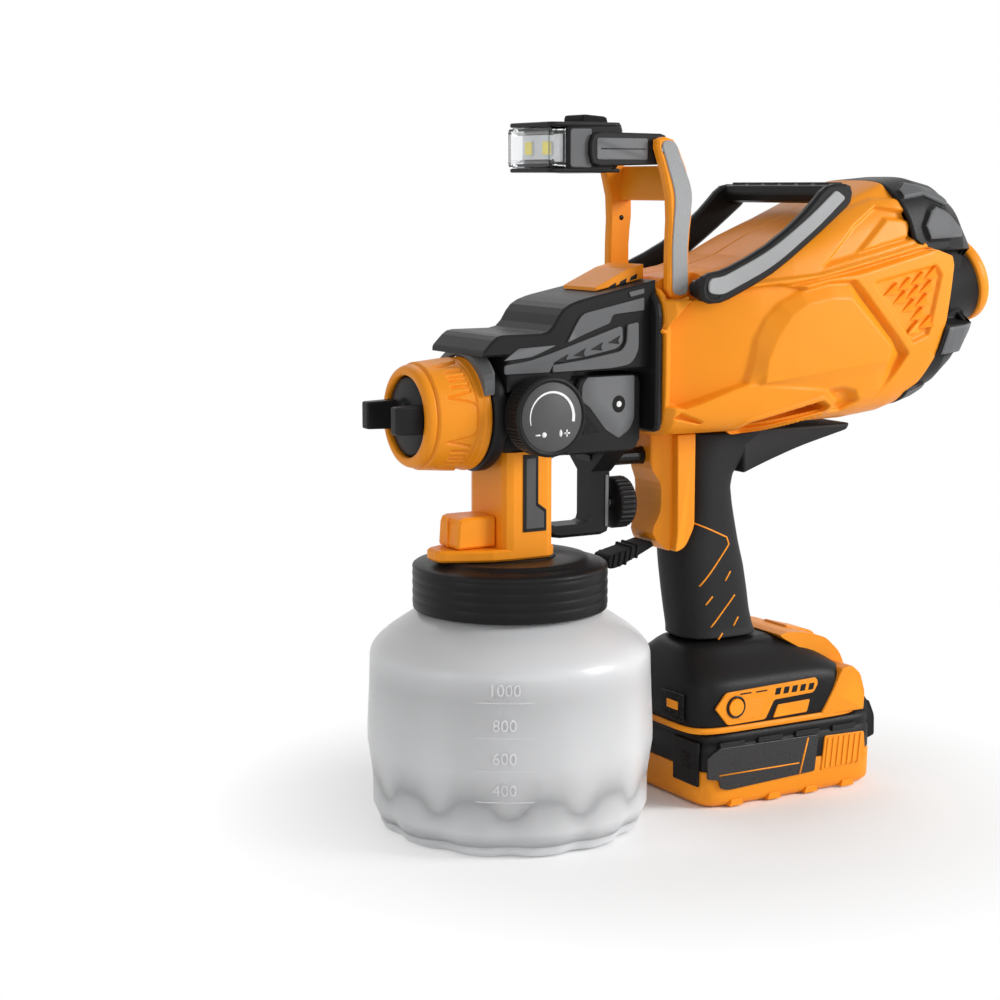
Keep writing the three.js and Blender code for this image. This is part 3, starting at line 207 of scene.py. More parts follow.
def mesh_from(made, name, material=None):
    """Turns a bmesh into a mesh."""
    mesh = bpy.data.meshes.new(name)
    made.to_mesh(mesh)
    made.free()
    if material:
        mesh.materials.append(material)
    return mesh


def finished(made, name, material, body, replaced=(), smooth=True):
    """Turns a bmesh into a piece: named, dressed, riding on its body."""
    bmesh.ops.recalc_face_normals(made, faces=made.faces)
    mesh = mesh_from(made, name, material)
    if smooth:
        mesh.shade_smooth()
    piece = linked(name, mesh)
    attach(piece, body)
    if replaced:
        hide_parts(*replaced)
    return piece


def thickened(piece, wall, offset):
    """Gives a sheet its wall: offset -1 puts it inside the sheet, and 0 on both sides."""
    thick = piece.modifiers.new("wall", "SOLIDIFY")
    thick.thickness = wall * MM
    thick.offset = offset


def lofted(made, rows, capped=True):
    """Joins rows of points that each go round, and closes both ends."""
    for first, second in zip(rows, rows[1:]):
        for i in range(len(first)):
            j = (i + 1) % len(first)
            made.faces.new((first[i], first[j], second[j], second[i]))
    if capped:
        made.faces.new(rows[0][::-1])
        made.faces.new(rows[-1])


def rounded(piece, width, segments=2, angle=30):
    """Rounds a piece's edges without changing its mesh."""
    bevel = piece.modifiers.new("rounding", "BEVEL")
    bevel.width = width * MM
    bevel.segments = segments
    bevel.limit_method = "ANGLE"
    bevel.angle_limit = math.radians(angle)
    bevel.harden_normals = False
    bevel.use_clamp_overlap = True
    weighted = piece.modifiers.new("even_shading", "WEIGHTED_NORMAL")
    weighted.keep_sharp = True
    return piece


def soft_corners(corners, steps=5):
    """A closed outline from corners (u, v) or (u, v, radius)."""
    points = []
    count = len(corners)
    for i, corner in enumerate(corners):
        at = Vector(corner[:2])
        radius = corner[2] if len(corner) > 2 else 0
        before = Vector(corners[i - 1][:2]) - at
        after = Vector(corners[(i + 1) % count][:2]) - at
        reach = min(radius, before.length / 2.1, after.length / 2.1)
        if reach <= 0:
            points.append(at)
            continue
        start = at + before.normalized() * reach
        end = at + after.normalized() * reach
        for step in range(steps + 1):
            t = step / steps
            points.append(start * (1 - t) ** 2 + at * (2 * t * (1 - t)) + end * t * t)
    return points


def side_place(u, v, w):
    return Vector((u, w, v)) * MM


def front_place(u, v, w):
    return Vector((w, u, v)) * MM


def floor_place(u, v, w):
    return Vector((u, v, w)) * MM


def slab(name, corners, low, high, material, body, edge=0.4, place=side_place, replaced=(), steps=5,
         segments=2):
    """A plate of the given outline between two depths, with its rims rounded."""
    points = soft_corners(corners, steps)
    made = bmesh.new()
    rings = [[made.verts.new(place(p.x, p.y, depth)) for p in points] for depth in (low, high)]
    made.faces.new(rings[0])
    made.faces.new(rings[1][::-1])
    for i in range(len(points)):
        j = (i + 1) % len(points)
        made.faces.new((rings[0][i], rings[0][j], rings[1][j], rings[1][i]))
    piece = finished(made, name, material, body, replaced)
    if edge:
        rounded(piece, edge, segments, 35)
    return piece


def both_sides(name, corners, inner, outer, material, body, edge=0.4, **more):
    """The same plate on the left and on the right, between two distances from the middle plane."""
    for side_name, side in SIDES:
        low, high = (-outer, -inner) if side < 0 else (inner, outer)
        slab(f"{name}_{side_name}", corners, low, high, material, body, edge, **more)


def round_outline(u, v, radius, count, tall=None):
    """A round or upright oval outline."""
    angles = [2 * math.pi * i / count for i in range(count)]
    return [(u + radius * math.cos(a), v + (tall or radius) * math.sin(a)) for a in angles]


def squared(angle, power):
    """A point of the unit circle pushed out towards a square's corners, further at a higher power."""
    c, s = math.cos(angle), math.sin(angle)
    return math.copysign(abs(c) ** (2 / power), c), math.copysign(abs(s) ** (2 / power), s)


def squared_ring(z, middle, reach, half, power, count):
    """A level ring with rounded corners."""
    ring = []
    for i in range(count):
        u, v = squared(2 * math.pi * (i + 0.5) / count, power)
        ring.append(Vector((middle + reach * u, half * v, z)))
    return ring


def turned(name, profile, place, material, body, segments=96, shape=None, replaced=()):
    """A turned piece from (radius, along) rows. place(radius vector u, v, along) gives its point, and
    shape(radius, along, angle) may change the radius."""
    made = bmesh.new()
    rows = []
    for radius, along in profile:
        if radius <= 0:
            rows.append([made.verts.new(place(0, 0, along))])
            continue
        row = []
        for i in range(segments):
            angle = 2 * math.pi * i / segments
            r = shape(radius, along, angle) if shape else radius
            row.append(made.verts.new(place(r * math.cos(angle), r * math.sin(angle), along)))
        rows.append(row)
    closed = profile[0] == profile[-1]
    if closed:
        for vert in rows[-1]:
            made.verts.remove(vert)
        rows[-1] = rows[0]
    for first, second in zip(rows, rows[1:]):
        for i in range(segments):
            j = (i + 1) % segments
            if len(first) == 1 and len(second) > 1:
                made.faces.new((first[0], second[i], second[j]))
            elif len(second) == 1 and len(first) > 1:
                made.faces.new((first[i], first[j], second[0]))
            elif len(first) > 1:
                made.faces.new((first[i], first[j], second[j], second[i]))
    return finished(made, name, material, body, replaced)


def along_x(centre_y, centre_z):
    return lambda u, v, along: Vector((along, centre_y + u, centre_z + v)) * MM


def along_y(centre_x, centre_z):
    return lambda u, v, along: Vector((centre_x + u, along, centre_z + v)) * MM


def along_z(centre_x, centre_y):
    return lambda u, v, along: Vector((centre_x + u, centre_y + v, along)) * MM


def eased(value):
    value = min(1.0, max(0.0, value))
    return value * value * (3 - 2 * value)


def between(value, table):
    """Linear reading of a table of (place, number...) rows."""
    if value <= table[0][0]:
        return table[0][1:]
    for low, high in zip(table, table[1:]):
        if value <= high[0]:
            t = (value - low[0]) / (high[0] - low[0])
            return tuple(a + (b - a) * t for a, b in zip(low[1:], high[1:]))
    return table[-1][1:]


BOXES = {}


def inside_by(u, v, corners, exact=False):
    """How far a point lies inside an outline (negative outside), in millimetres. Outside the outline's
    box it is the way to the box, unless the exact distance is asked for."""
    if corners not in BOXES:
        BOXES[corners] = (min(c[0] for c in corners), max(c[0] for c in corners),
                          min(c[1] for c in corners), max(c[1] for c in corners))
    low_u, high_u, low_v, high_v = BOXES[corners]
    outside = max(low_u - u, u - high_u, low_v - v, v - high_v)
    if outside > 0 and not exact:
        return -outside
    nearest = 1e9
    inside = False
    count = len(corners)
    for i in range(count):
        ax, ay = corners[i][0], corners[i][1]
        bx, by = corners[(i + 1) % count][0], corners[(i + 1) % count][1]
        dx, dy = bx - ax, by - ay
        t = min(1.0, max(0.0, ((u - ax) * dx + (v - ay) * dy) / (dx * dx + dy * dy)))
        nearest = min(nearest, math.hypot(u - ax - t * dx, v - ay - t * dy))
        if (ay > v) != (by > v) and u < ax + (v - ay) * dx / dy:
            inside = not inside
    return nearest if inside else -nearest


def raised(u, v, corners, height, edge=1.2):
    """The relief of an outline: the full height inside, falling to nothing over its edge."""
    return height * eased(inside_by(u, v, corners) / edge)


def dress(name, material, edge=0.0, segments=2, angle=30):
    """A CAD node that keeps its shape gets its material, and its edges are rounded."""
    piece = nodes[name]
    piece.data.materials.clear()
    piece.data.materials.append(material)
    if edge:
        flat = piece.modifiers.new("flat_faces", "DECIMATE")
        flat.decimate_type = "DISSOLVE"
        flat.angle_limit = math.radians(2)
        rounded(piece, edge, segments, angle)
    return piece


def dress_both(name, material, edge):
    """The left and the right one of a pair of CAD nodes."""
    for side_name, _ in SIDES:
        dress(f"{name}_{side_name}", material, edge)


# ---- motor housing ----

# Stations along X: x, bottom, top, half width, squareness.
HOUSING = (
    (62, 176.5, 244, 32, 4.5),
    (66, 175, 247, 35, 5),
    (93, 175, 251, 38.5, 5),
    (110, 175, 256, 40.5, 4.6),
    (128, 176, 265, 41.8, 4.2),
    (148, 177, 273, 42.3, 4),
    (170, 177, 283, 42.3, 3.6),
    (190, 179, 290.5, 41.3, 3.6),
    (208, 184, 292, 40.2, 3.6),
    (222, 190, 289, 38.4, 3.6),
    (234, 197, 282.5, 34.5, 3.2),
    (246, 209, 269.5, 27.5, 2.8),
)
# The line in the side view where the shells end and the tail cover starts: z, x.
TAIL_JOINT = (
    (160, 199), (183, 199), (190, 199.5), (194, 206), (206, 213.5), (224, 219.5), (250, 224), (254.5, 222.5),
    (257.5, 212), (260, 202), (263, 198), (272, 196), (281, 193), (291, 189), (300, 186),
)

SCOOP = (
    (84, 241), (72, 236), (65, 229), (61, 221), (60, 210), (60, 190), (71, 188), (78, 190), (95, 196),
    (106, 199), (109, 209), (111, 219), (115, 226), (122, 232), (131, 238), (134, 242), (118, 244),
)
BULGE = (
    (101, 198), (104, 209), (106, 220), (111, 229), (119, 236), (130, 241), (146, 244.5), (161, 245),
    (196, 209), (180, 188), (146, 193),
)
BULGE_FACE = (
    (110, 199), (111.5, 209), (116, 219), (123.5, 229), (132, 234), (146, 236.5), (157, 236), (182, 213),
    (180, 206), (146, 203),
)
UPPER_POCKET = ((165, 270), (141, 249), (196, 261), (202, 264), (199, 276), (180, 279))
UPPER_STEP = ((184, 273), (164, 256), (196, 263), (199, 272))
LONG_STEP = ((84, 242), (141, 247), (198, 259), (226, 264), (226, 300), (60, 300))
TOP_STEP = ((78, 250), (110, 254), (142, 269), (180, 281), (226, 281), (226, 300), (60, 300))
LONG_GROOVE = ((112, 242.5), (141, 246.5), (198, 258.5), (214, 261), (208, 256.5), (163, 246.5), (146, 244.8),
               (128, 241.5))
SCALE_POCKET = ((171, 243.5), (211, 251), (216, 246), (208, 217), (197.5, 213.5))
SLOT = ((103, 177.5), (106, 180.5), (145, 189), (150.5, 186.5), (149.5, 183.5), (111, 175), (104, 175.5))
SLOT_LIP = ((97, 178), (104, 182.5), (145, 191.5), (153, 187), (153, 182), (110, 171), (100, 171))
REAR_SCOOP = ((145, 194.5), (157, 195.5), (165, 193.5), (170, 187), (161, 182), (152.5, 182), (154, 188))
FRONT_NICK = ((65, 184), (80, 180.5), (82, 182), (69, 187))
SCOOP_DEEP, SCOOP_RISE = 9.5, 6.0
# Outline, height over the skin and width of its edge.
SIDE_STEPS = (
    (UPPER_POCKET, -3.0, 2.4), (UPPER_STEP, 2.0, 1.2), (LONG_STEP, -2.4, 1.1), (TOP_STEP, -2.2, 1.3),
    (LONG_GROOVE, -3.4, 2.2), (SCALE_POCKET, -2.0, 1.4), (SLOT_LIP, 1.2, 1.2), (SLOT, -11.0, 1.3),
    (REAR_SCOOP, -4.5, 3.5), (FRONT_NICK, -3.0, 1.2),
)
TAIL_STRAP = ((194, 286), (202, 290), (218, 286.5), (226, 280), (222, 277.5), (208, 283), (194, 281))
TAIL_PANEL = ((208, 276.4), (213, 279.0), (220, 276.4), (233, 267.5), (232, 262.4), (206, 261.5), (203, 269))
TAIL_BLOCK = ((216, 221.5), (247, 222.5), (247, 207.5), (212, 206.5))
TAIL_FOOT = ((196, 190), (214, 194), (213, 186), (208, 182), (196, 181))
TAIL_STEPS = ((TAIL_STRAP, 1.6, 1.6), (TAIL_PANEL, 1.8, 1.6), (TAIL_BLOCK, 3.0, 1.0), (TAIL_FOOT, 2.0, 1.0))
TAIL_PLATES = (("tail_strap", TAIL_STRAP), ("tail_panel", TAIL_PANEL), ("tail_block", TAIL_BLOCK),
               ("tail_foot", TAIL_FOOT))
TAIL_END = 245.4
PLATE_LIFT = 0.25

# The small wedges in the rear pocket: the first one's place, their steps along and down the rows, and one
# wedge's corners along and across the row, each with its height.
SCALE_START = Vector((177.5, 243.0))
SCALE_STEP, ROW_STEP = 8.6, 5.4
ROW_TILT = math.radians(16)
SCALE_CORNERS = ((-4.4, -1.4, 0.1), (3.6, 2.6, 2.2), (2.2, 0, 2.4), (3.6, -2.6, 2.2))

SHELL_COLUMNS, SHELL_ROWS, TAIL_COLUMNS = 220, 240, 56


def bulge_level(x, z, outer):
    """The bulge on the side: a flat face, and a chamfer down to the scoop all round."""
    low = -3.2 - 2.4 * eased((x - 148) / 22)
    if z < 206:
        low = -0.6 + (low + 0.6) * eased((z - 190) / 16)
    share = outer / (outer + max(0.0, -inside_by(x, z, BULGE_FACE, exact=True)))
    return low + (1.8 - low) * share


def side_relief(x, z):
    """Height over the smooth side of the housing, in millimetres."""
    height = 0.0
    scoop = inside_by(x, z, SCOOP)
    if scoop > 0:
        height -= (SCOOP_DEEP - SCOOP_RISE * eased((x - 60) / 52)) * eased(scoop / 1.6)
    bulge = inside_by(x, z, BULGE)
    if bulge > 0:
        height += (bulge_level(x, z, bulge) - height) * eased(bulge / 2.2)
    for corners, step, edge in SIDE_STEPS:
        height += raised(x, z, corners, step, edge)
    return height


def section(x, angle):
    """The smooth section of the housing, from the bottom (0) to the top (pi): y and z."""
    bottom, top, half, power = between(x, HOUSING)
    u, v = math.sin(angle), -math.cos(angle)
    bow = 2 / power
    return half * abs(u) ** bow, (bottom + top) / 2 + (top - bottom) / 2 * math.copysign(abs(v) ** bow, v)


def even_angles(rows):
    """Angles at which a middle section is cut into equal lengths."""
    fine = [math.pi * i / 4000 for i in range(4001)]
    points = [section(150, a) for a in fine]
    lengths = [0.0]
    for first, second in zip(points, points[1:]):
        lengths.append(lengths[-1] + math.dist(first, second))
    made, k = [], 0
    for row in range(rows + 1):
        wanted = lengths[-1] * row / rows
        while k < 3999 and lengths[k + 1] < wanted:
            k += 1
        share = (wanted - lengths[k]) / (lengths[k + 1] - lengths[k])
        made.append(fine[k] + (fine[k + 1] - fine[k]) * share)
    return made


def shell_point(x, angle):
    y, z = section(x, angle)
    half = between(x, HOUSING)[2]
    y += side_relief(x, z) * eased((y - half * 0.5) / (half * 0.3))
    notch = eased((84 - x) / 2.0) * eased((z - 237.0) / 1.2)
    return x, y * (1 - notch) + min(y, 21.2) * notch, z


def tail_point(x, angle):
    """The tail cover steps in beside the intake drum, between a panel above and a block below."""
    y, z = section(x, angle)
    half = between(x, HOUSING)[2]
    y += tail_relief(x, z) * eased((y - half * 0.4) / (half * 0.3))
    gap = eased((z - 221.5) / 1.6) * eased((257.5 - z) / 1.6)
    drawn_in = max(19.0, min(y, y - (x - joint_x(z) - 1.0) * 2.2))
    return x, y * (1 - gap) + drawn_in * gap, z


def joint_x(z):
    """Where the shells end at this height."""
    return between(z, TAIL_JOINT)[0]


def joint_at(angle):
    """Where the line between shell and tail cover crosses the skin at this angle."""
    x = 210.0
    for _ in range(16):
        x = 0.5 * (x + joint_x(section(x, angle)[1]))
    return x


def tail_relief(x, z):
    """The tail cover's steps: a strap over the top, a recess, the upper panel and the lower blocks."""
    return -1.2 + sum(raised(x, z, corners, step, edge) for corners, step, edge in TAIL_STEPS)


def scales(name, side):
    """Rows of small wedges, each with its point forward and down, rising to its rear edge."""
    made = bmesh.new()
    tilt = Vector((math.cos(ROW_TILT), math.sin(ROW_TILT)))
    rise = Vector((-math.sin(ROW_TILT), math.cos(ROW_TILT)))

    def on_shell(spot, lift):
        return made.verts.new(Vector((spot.x, side * (shell_y(spot.x, spot.y) + lift), spot.y)) * MM)

    for row in range(-1, 7):
        for k in range(-1, 6):
            middle = SCALE_START + tilt * (SCALE_STEP * (k + 0.5 * (row % 2))) - rise * (ROW_STEP * row)
            if inside_by(middle.x, middle.y, SCALE_POCKET) < 3.4:
                continue
            points = [(middle + tilt * along + rise * across, lift) for along, across, lift in SCALE_CORNERS]
            centre = sum((spot for spot, lift in points), Vector((0, 0))) / 4
            top = [on_shell(spot, lift) for spot, lift in points]
            low = [on_shell(centre + (spot - centre) * 1.16, -0.6) for spot, lift in points]
            made.faces.new(top)
            for i in range(4):
                made.faces.new((top[i], top[(i + 1) % 4], low[(i + 1) % 4], low[i]))
            made.faces.new(low[::-1])
    finished(made, name, orange, "sprayer", smooth=False)


def angle_at(x, z):
    """The angle at which the smooth section reaches this height."""
    low, high = 0.0, math.pi
    for _ in range(24):
        middle = (low + high) / 2
        if section(x, middle)[1] < z:
            low = middle
        else:
            high = middle
    return (low + high) / 2


def shell_y(x, z):
    """The shell's half width at a point of its side view."""
    return shell_point(x, angle_at(x, z))[1]


def skin_sheet(name, side, lines, material, replaced, wall=2.4):
    """One side of the housing as a fine sheet, given its thickness by a modifier."""
    made = bmesh.new()
    grid = [[made.verts.new(Vector((x, side * max(y, 0.15), z)) * MM) for x, y, z in line] for line in lines]
    for first, second in zip(grid, grid[1:]):
        for j in range(len(first) - 1):
            corners = (first[j], second[j], second[j + 1], first[j + 1])
            made.faces.new(corners if side < 0 else corners[::-1])
    mesh = mesh_from(made, name, material)
    mesh.shade_smooth()
    piece = linked(name, mesh)
    thickened(piece, wall, -1.0)
    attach(piece, "sprayer")
    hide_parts(*replaced)
    return piece


def motor_housing():
    front = HOUSING[0][0]
    angles = even_angles(SHELL_ROWS)
    joints = [joint_at(angle) for angle in angles]
    shell, tail = [], []
    for i in range(SHELL_COLUMNS + 1):
        share = i / SHELL_COLUMNS
        shell.append([shell_point(front + (j - front) * share, angle) for j, angle in zip(joints, angles)])
    for i in range(TAIL_COLUMNS + 1):
        share = i / TAIL_COLUMNS
        tail.append([tail_point(j + 0.5 + (TAIL_END - j) * share, angle) for j, angle in zip(joints, angles)])
    middle = DRUM_FRONT.z + (246 - DRUM_FRONT.x) * math.tan(DRUM_TILT)
    rim = []
    for _, y, z in tail[-1]:
        shrunk = min(1.0, 20.5 / math.hypot(y, z - middle))
        rim.append((245.9, y * shrunk, middle + (z - middle) * shrunk))
    tail.append(rim)
    for name, side in SIDES:
        skin_sheet("shell_skin_" + name, side, shell, orange, ["body_shell_" + name])
        piece = skin_sheet("tail_skin_" + name, side, tail, black, ["tail_cover"] if side < 0 else [])
        cut_away(piece, drum_cutter(DRUM_RADIUS + 0.4))
        scales("scales_" + name, side)
        for label, corners in TAIL_PLATES:
            inlaid(f"{label}_{name}", corners, side)
    plug = ((234, 208), (245.6, 209.5), (245.6, 215.2), (234, 212.2))
    slab("tail_plug", plug, -7, 7, black, "sprayer", 0.4)
    upper = ((203, 286), (222, 282), (234, 272.6), (244.5, 262), (244.5, 259), (236, 258.6), (226, 262),
             (203, 276))
    slab("tail_spine_upper", upper, -0.9, 0.9, black, "sprayer", 0)
    lower = ((203, 186), (212, 187.4), (222, 192), (234, 199.2), (244.5, 208.4), (244.5, 212), (226, 206),
             (203, 196))
    slab("tail_spine_lower", lower, -0.9, 0.9, black, "sprayer", 0)


def skin_y(x, z):
    """The tail cover's half width at a point of its side view."""
    return tail_point(x, angle_at(x, z))[1]


def inlaid(name, corners, side):
    """A thin grey plate that lies on the tail cover and follows its form."""
    made = bmesh.new()
    middle = (sum(x for x, z in corners) / len(corners), sum(z for x, z in corners) / len(corners))
    ring = []
    for x, z in corners:
        x, z = middle[0] + (x - middle[0]) * 0.9, middle[1] + (z - middle[1]) * 0.86
        ring.append(made.verts.new((min(max(x, joint_x(z) + 1.8), 243.6), 0, z)))
    made.faces.new(ring)
    bmesh.ops.triangulate(made, faces=made.faces[:])
    bmesh.ops.subdivide_edges(made, edges=made.edges[:], cuts=9, use_grid_fill=True)
    for vert in made.verts:
        x, z = vert.co.x, vert.co.z
        vert.co = Vector((x, side * (skin_y(x, z) + PLATE_LIFT), z)) * MM
    thickened(finished(made, name, grey, "sprayer"), 0.5, 0.0)


def front_wall():
    """The flat front of the housing, which closes it behind the spray head."""
    bottom, top, half, power = HOUSING[0][1:]
    corners = []
    for i in range(64):
        u, v = squared(2 * math.pi * i / 64, power)
        corners.append((half * u, (bottom + top) / 2 + (top - bottom) / 2 * v))
    slab("housing_front", corners, 61.9, 64.5, orange, "sprayer", 0.6, front_place)


# ---- air intake ----

DRUM_FRONT = Vector((226.4, 0, 232.5))
DRUM_TILT = 0.275
DRUM_AXIS = Vector((math.cos(DRUM_TILT), 0, math.sin(DRUM_TILT)))
DRUM_UP = Vector((-math.sin(DRUM_TILT), 0, math.cos(DRUM_TILT)))
DRUM_RADIUS = 21.2
DRUM_END = 29.7


def on_drum(u, v, along):
    return (DRUM_FRONT + DRUM_AXIS * along + Vector((0, 1, 0)) * u + DRUM_UP * v) * MM


def cut_away(piece, mesh):
    """Takes one solid away from a piece."""
    cutter = linked(piece.name + "_cutter", mesh)
    hole = piece.modifiers.new("hole", "BOOLEAN")
    hole.object = cutter
    hole.operation = "DIFFERENCE"
    hole.solver = "EXACT"
    bpy.context.view_layer.update()
    graph = bpy.context.evaluated_depsgraph_get()
    baked = bpy.data.meshes.new_from_object(piece.evaluated_get(graph))
    piece.modifiers.clear()
    piece.data = baked
    bpy.data.objects.remove(cutter)


def drum_cutter(radius):
    """A long cylinder on the drum's axis."""
    made = bmesh.new()
    outline = round_outline(0, 0, radius, 96)
    lofted(made, [[made.verts.new(on_drum(u, v, along)) for u, v in outline] for along in (-30, 60)])
    bmesh.ops.recalc_face_normals(made, faces=made.faces)
    return mesh_from(made, "cylinder")


def air_intake():
    r = DRUM_RADIUS
    turned(
        "intake_barrel",
        [(r - 2, 0), (r - 0.5, 0), (r, 0.5), (r, 8), (r + 0.35, 8.4), (r + 0.35, 10.5), (r, 11),
         (r, DRUM_END - 0.6), (r - 0.6, DRUM_END), (r - 2, DRUM_END), (r - 2, 0)],
        on_drum, black, "sprayer", 96, replaced=["intake_drum"],
    )
    cap, start, end, bore = 22.0, 30.0, 36.5, 16.2
    turned(
        "intake_cap_rim",
        [(bore, start), (cap - 0.6, start), (cap, start + 0.6), (cap, end - 1.8), (cap - 0.7, end - 0.5),
         (cap - 1.8, end), (bore + 1.4, end), (bore + 0.4, end - 0.5), (bore, end - 1.4), (bore, start)],
        on_drum, orange, "intake_cap", 128, replaced=["intake_cap"],
    )
    for i in range(7):
        level = (i - 3) * 4.4
        half = math.sqrt((bore + 0.4) ** 2 - level ** 2)
        made = bmesh.new()
        for u in (-half, half):
            for v in (level - 0.8, level + 0.8):
                for w in (end - 4, end - 1.6):
                    made.verts.new(on_drum(u, v, w))
        bmesh.ops.convex_hull(made, input=made.verts)
        rounded(finished(made, f"cap_bar_{i}", orange, "intake_cap", smooth=False), 0.4)
    dress("intake_filter", foam, 0.4)


# ---- bottle and collar ----


def bottle():
    """A blow-moulded bottle: a wavy foot, a wall that widens to its middle, and a soft shoulder."""
    def shape(radius, along, angle):
        low = eased((20 - along) / 14)
        wave = 0.5 + 0.5 * math.cos(12 * angle)
        return radius - low * 2.5 * wave ** 2 * (radius > 45)

    outer = [(0, 1.2), (30, 1.2), (44, 0.6), (52, 0), (56.4, 0), (58.4, 1.0), (59.6, 3), (60.4, 7),
             (61.2, 12), (62.2, 20), (63.3, 28), (64.4, 36), (64.9, 39), (65.0, 42), (64.9, 46), (64.6, 54),
             (64.2, 62), (63.9, 70), (63.7, 76), (63.6, 79), (63.2, 81), (62.2, 83), (59.6, 86), (55.6, 89.4),
             (51, 92.6), (46.4, 95.6), (42.4, 97.8), (39.6, 99.2), (38.4, 100.4), (38.4, 113.8)]
    inner = [(36.6, 113.8), (36.6, 99), (47, 93.6), (57, 85), (62, 77), (63, 70), (63, 12), (60, 5),
             (54, 2.6), (0, 2.6)]
    turned("paint_bottle", outer + inner, along_z(0, 0), milky, "bottle", 192, shape, ["bottle"])
    for i, (label, level) in enumerate((("1000", 73.2), ("800", 58.0), ("600", 43.6), ("400", 29.4))):
        embossed(label, f"mark_{i}", level)


MARK_ANGLE = math.radians(-122)
WALL = ((0, 57), (12, 61.2), (28, 63.3), (36, 64.4), (42, 65.0), (46, 64.9), (62, 64.2), (79, 63.6))


def bottle_radius(z):
    """The radius on which the marks stand."""
    return between(z, WALL)[0] + 0.05


def embossed(text, name, level):
    """Raised plain numbers on the bottle, bent round it, with a short rule below."""
    curve = bpy.data.curves.new(name, "FONT")
    curve.body = text
    curve.size = 7.2 * MM
    curve.extrude = 0.35 * MM
    curve.align_x = "CENTER"
    curve.resolution_u = 3
    holder = linked(name + "_text", curve)
    bpy.context.view_layer.update()
    mesh = bpy.data.meshes.new_from_object(holder.evaluated_get(bpy.context.evaluated_depsgraph_get()))
    bpy.data.objects.remove(holder)
    made = bmesh.new()
    made.from_mesh(mesh)
    rule = bmesh.ops.create_grid(made, x_segments=24, y_segments=1, size=0.5)["verts"]
    for vert in rule:
        vert.co = Vector((vert.co.x * 26, vert.co.y * 0.5 - 3.0, 0.2)) * MM
    for vert in made.verts:
        angle = MARK_ANGLE + vert.co.x / (65 * MM)
        radius = bottle_radius(level + vert.co.y / MM) * MM + vert.co.z
        vert.co = Vector((radius * math.cos(angle), radius * math.sin(angle), vert.co.y + level * MM))
    finished(made, name, mark_white, "bottle", smooth=False)


def collar():
    """The screw collar: a domed crown, and a skirt with four rounded ridges."""
    profile = [(38.8, 99.8), (43.6, 99.8), (44.0, 100.3)]
    ridges = 4
    for i in range(ridges * 8 + 1):
        t = i / (ridges * 8)
        profile.append((43.85 + 0.32 * abs(math.sin(math.pi * t * ridges)) ** 0.6, 100.8 + 16.8 * t))
    profile += [(44.2, 118.4), (44.0, 119.3), (43.0, 120.0), (40.0, 120.9), (36.6, 121.5), (35.6, 122.2),
                (35.0, 122.9), (33.0, 123.0), (20.6, 123.0), (20.6, 119.6), (38.8, 119.6), (38.8, 99.8)]
    turned("screw_collar", profile, along_z(0, 0), black, "collar", 128, None, ["collar"])


# ---- neck ----


def neck():
    dress("neck", orange, 0.9, 3)
    dress("vent_block", orange, 1.0, 3)
    insert = ((-3.2, 170.5), (4.4, 170.5), (4.4, 148.5), (8.6, 145.4), (8.6, 136), (-3.2, 136))
    both_sides("neck_insert", insert, 16.6, 17.6, black, "sprayer", 0.25)
    core = ((-1.9, 168.8), (2.9, 168.8), (2.9, 147.6), (7.2, 144.4), (7.2, 137.4), (-1.9, 137.4))
    both_sides("neck_core", core, 17.0, 17.9, dark_grey, "sprayer", 0.3)
    seam = ((-32.4, 129.4), (-31.6, 129.4), (-31.6, 142.6), (-32.4, 142.6))
    slab("vent_seam", seam, -0.5, 0.5, orange_soft, "sprayer", 0.1)


# ---- nozzle ----

NOZZLE_Z = 188.5
nozzle_place = along_x(0, NOZZLE_Z)

NUT_FRONT, NUT_REAR = -53.0, -22.9
NUT_WALL = ((-53, 20.6), (-52.4, 21.6), (-51.2, 22.3), (-50, 22.6), (-34, 24.0), (-26.6, 24.4), (-26.0, 25.0),
            (-24.0, 25.0), (-22.9, 24.4))
NUT_INSIDE = ((20.6, NUT_REAR), (20.6, -48.8), (18.0, -49.3), (18.0, -52.4), (18.6, NUT_FRONT))
# The raised pattern, by the distance from a panel's middle and along the axis: a rounded panel, a zig-zag and
# bars. It is mirrored and repeated, so one eighth of the way round the nut holds all of it.
NUT_PATTERN = ((-6, -48), (-6, -30.2), (4.4, -30.4), (6.4, -31.6), (7.4, -34), (9.6, -43.4), (10.2, -43.4),
               (12.0, -33.4), (12.4, -32.2), (13.3, -32.2), (13.7, -33), (14.0, -40.4), (14.8, -40.4),
               (15.1, -33), (15.4, -32.2), (16.5, -32.2), (16.8, -33), (17.1, -40.4), (17.9, -40.4),
               (18.2, -33), (18.4, -32.2), (24, -32.2), (24, -48))
NUT_RISE = 0.75
EIGHTH = 72
EIGHTH_LENGTH = 18.46


def nut_relief(x):
    """Heights of the pattern at one place along the axis, over an eighth of the way round: raised, with a
    groove along its edge."""
    heights = []
    for j in range(EIGHTH + 1):
        inside = inside_by(j / EIGHTH * EIGHTH_LENGTH, x, NUT_PATTERN)
        groove = max(0.0, 1 - abs(inside + 0.2) / 0.75)
        heights.append(NUT_RISE * eased(inside / 0.5 + 0.5) - NUT_RISE * groove)
    return heights


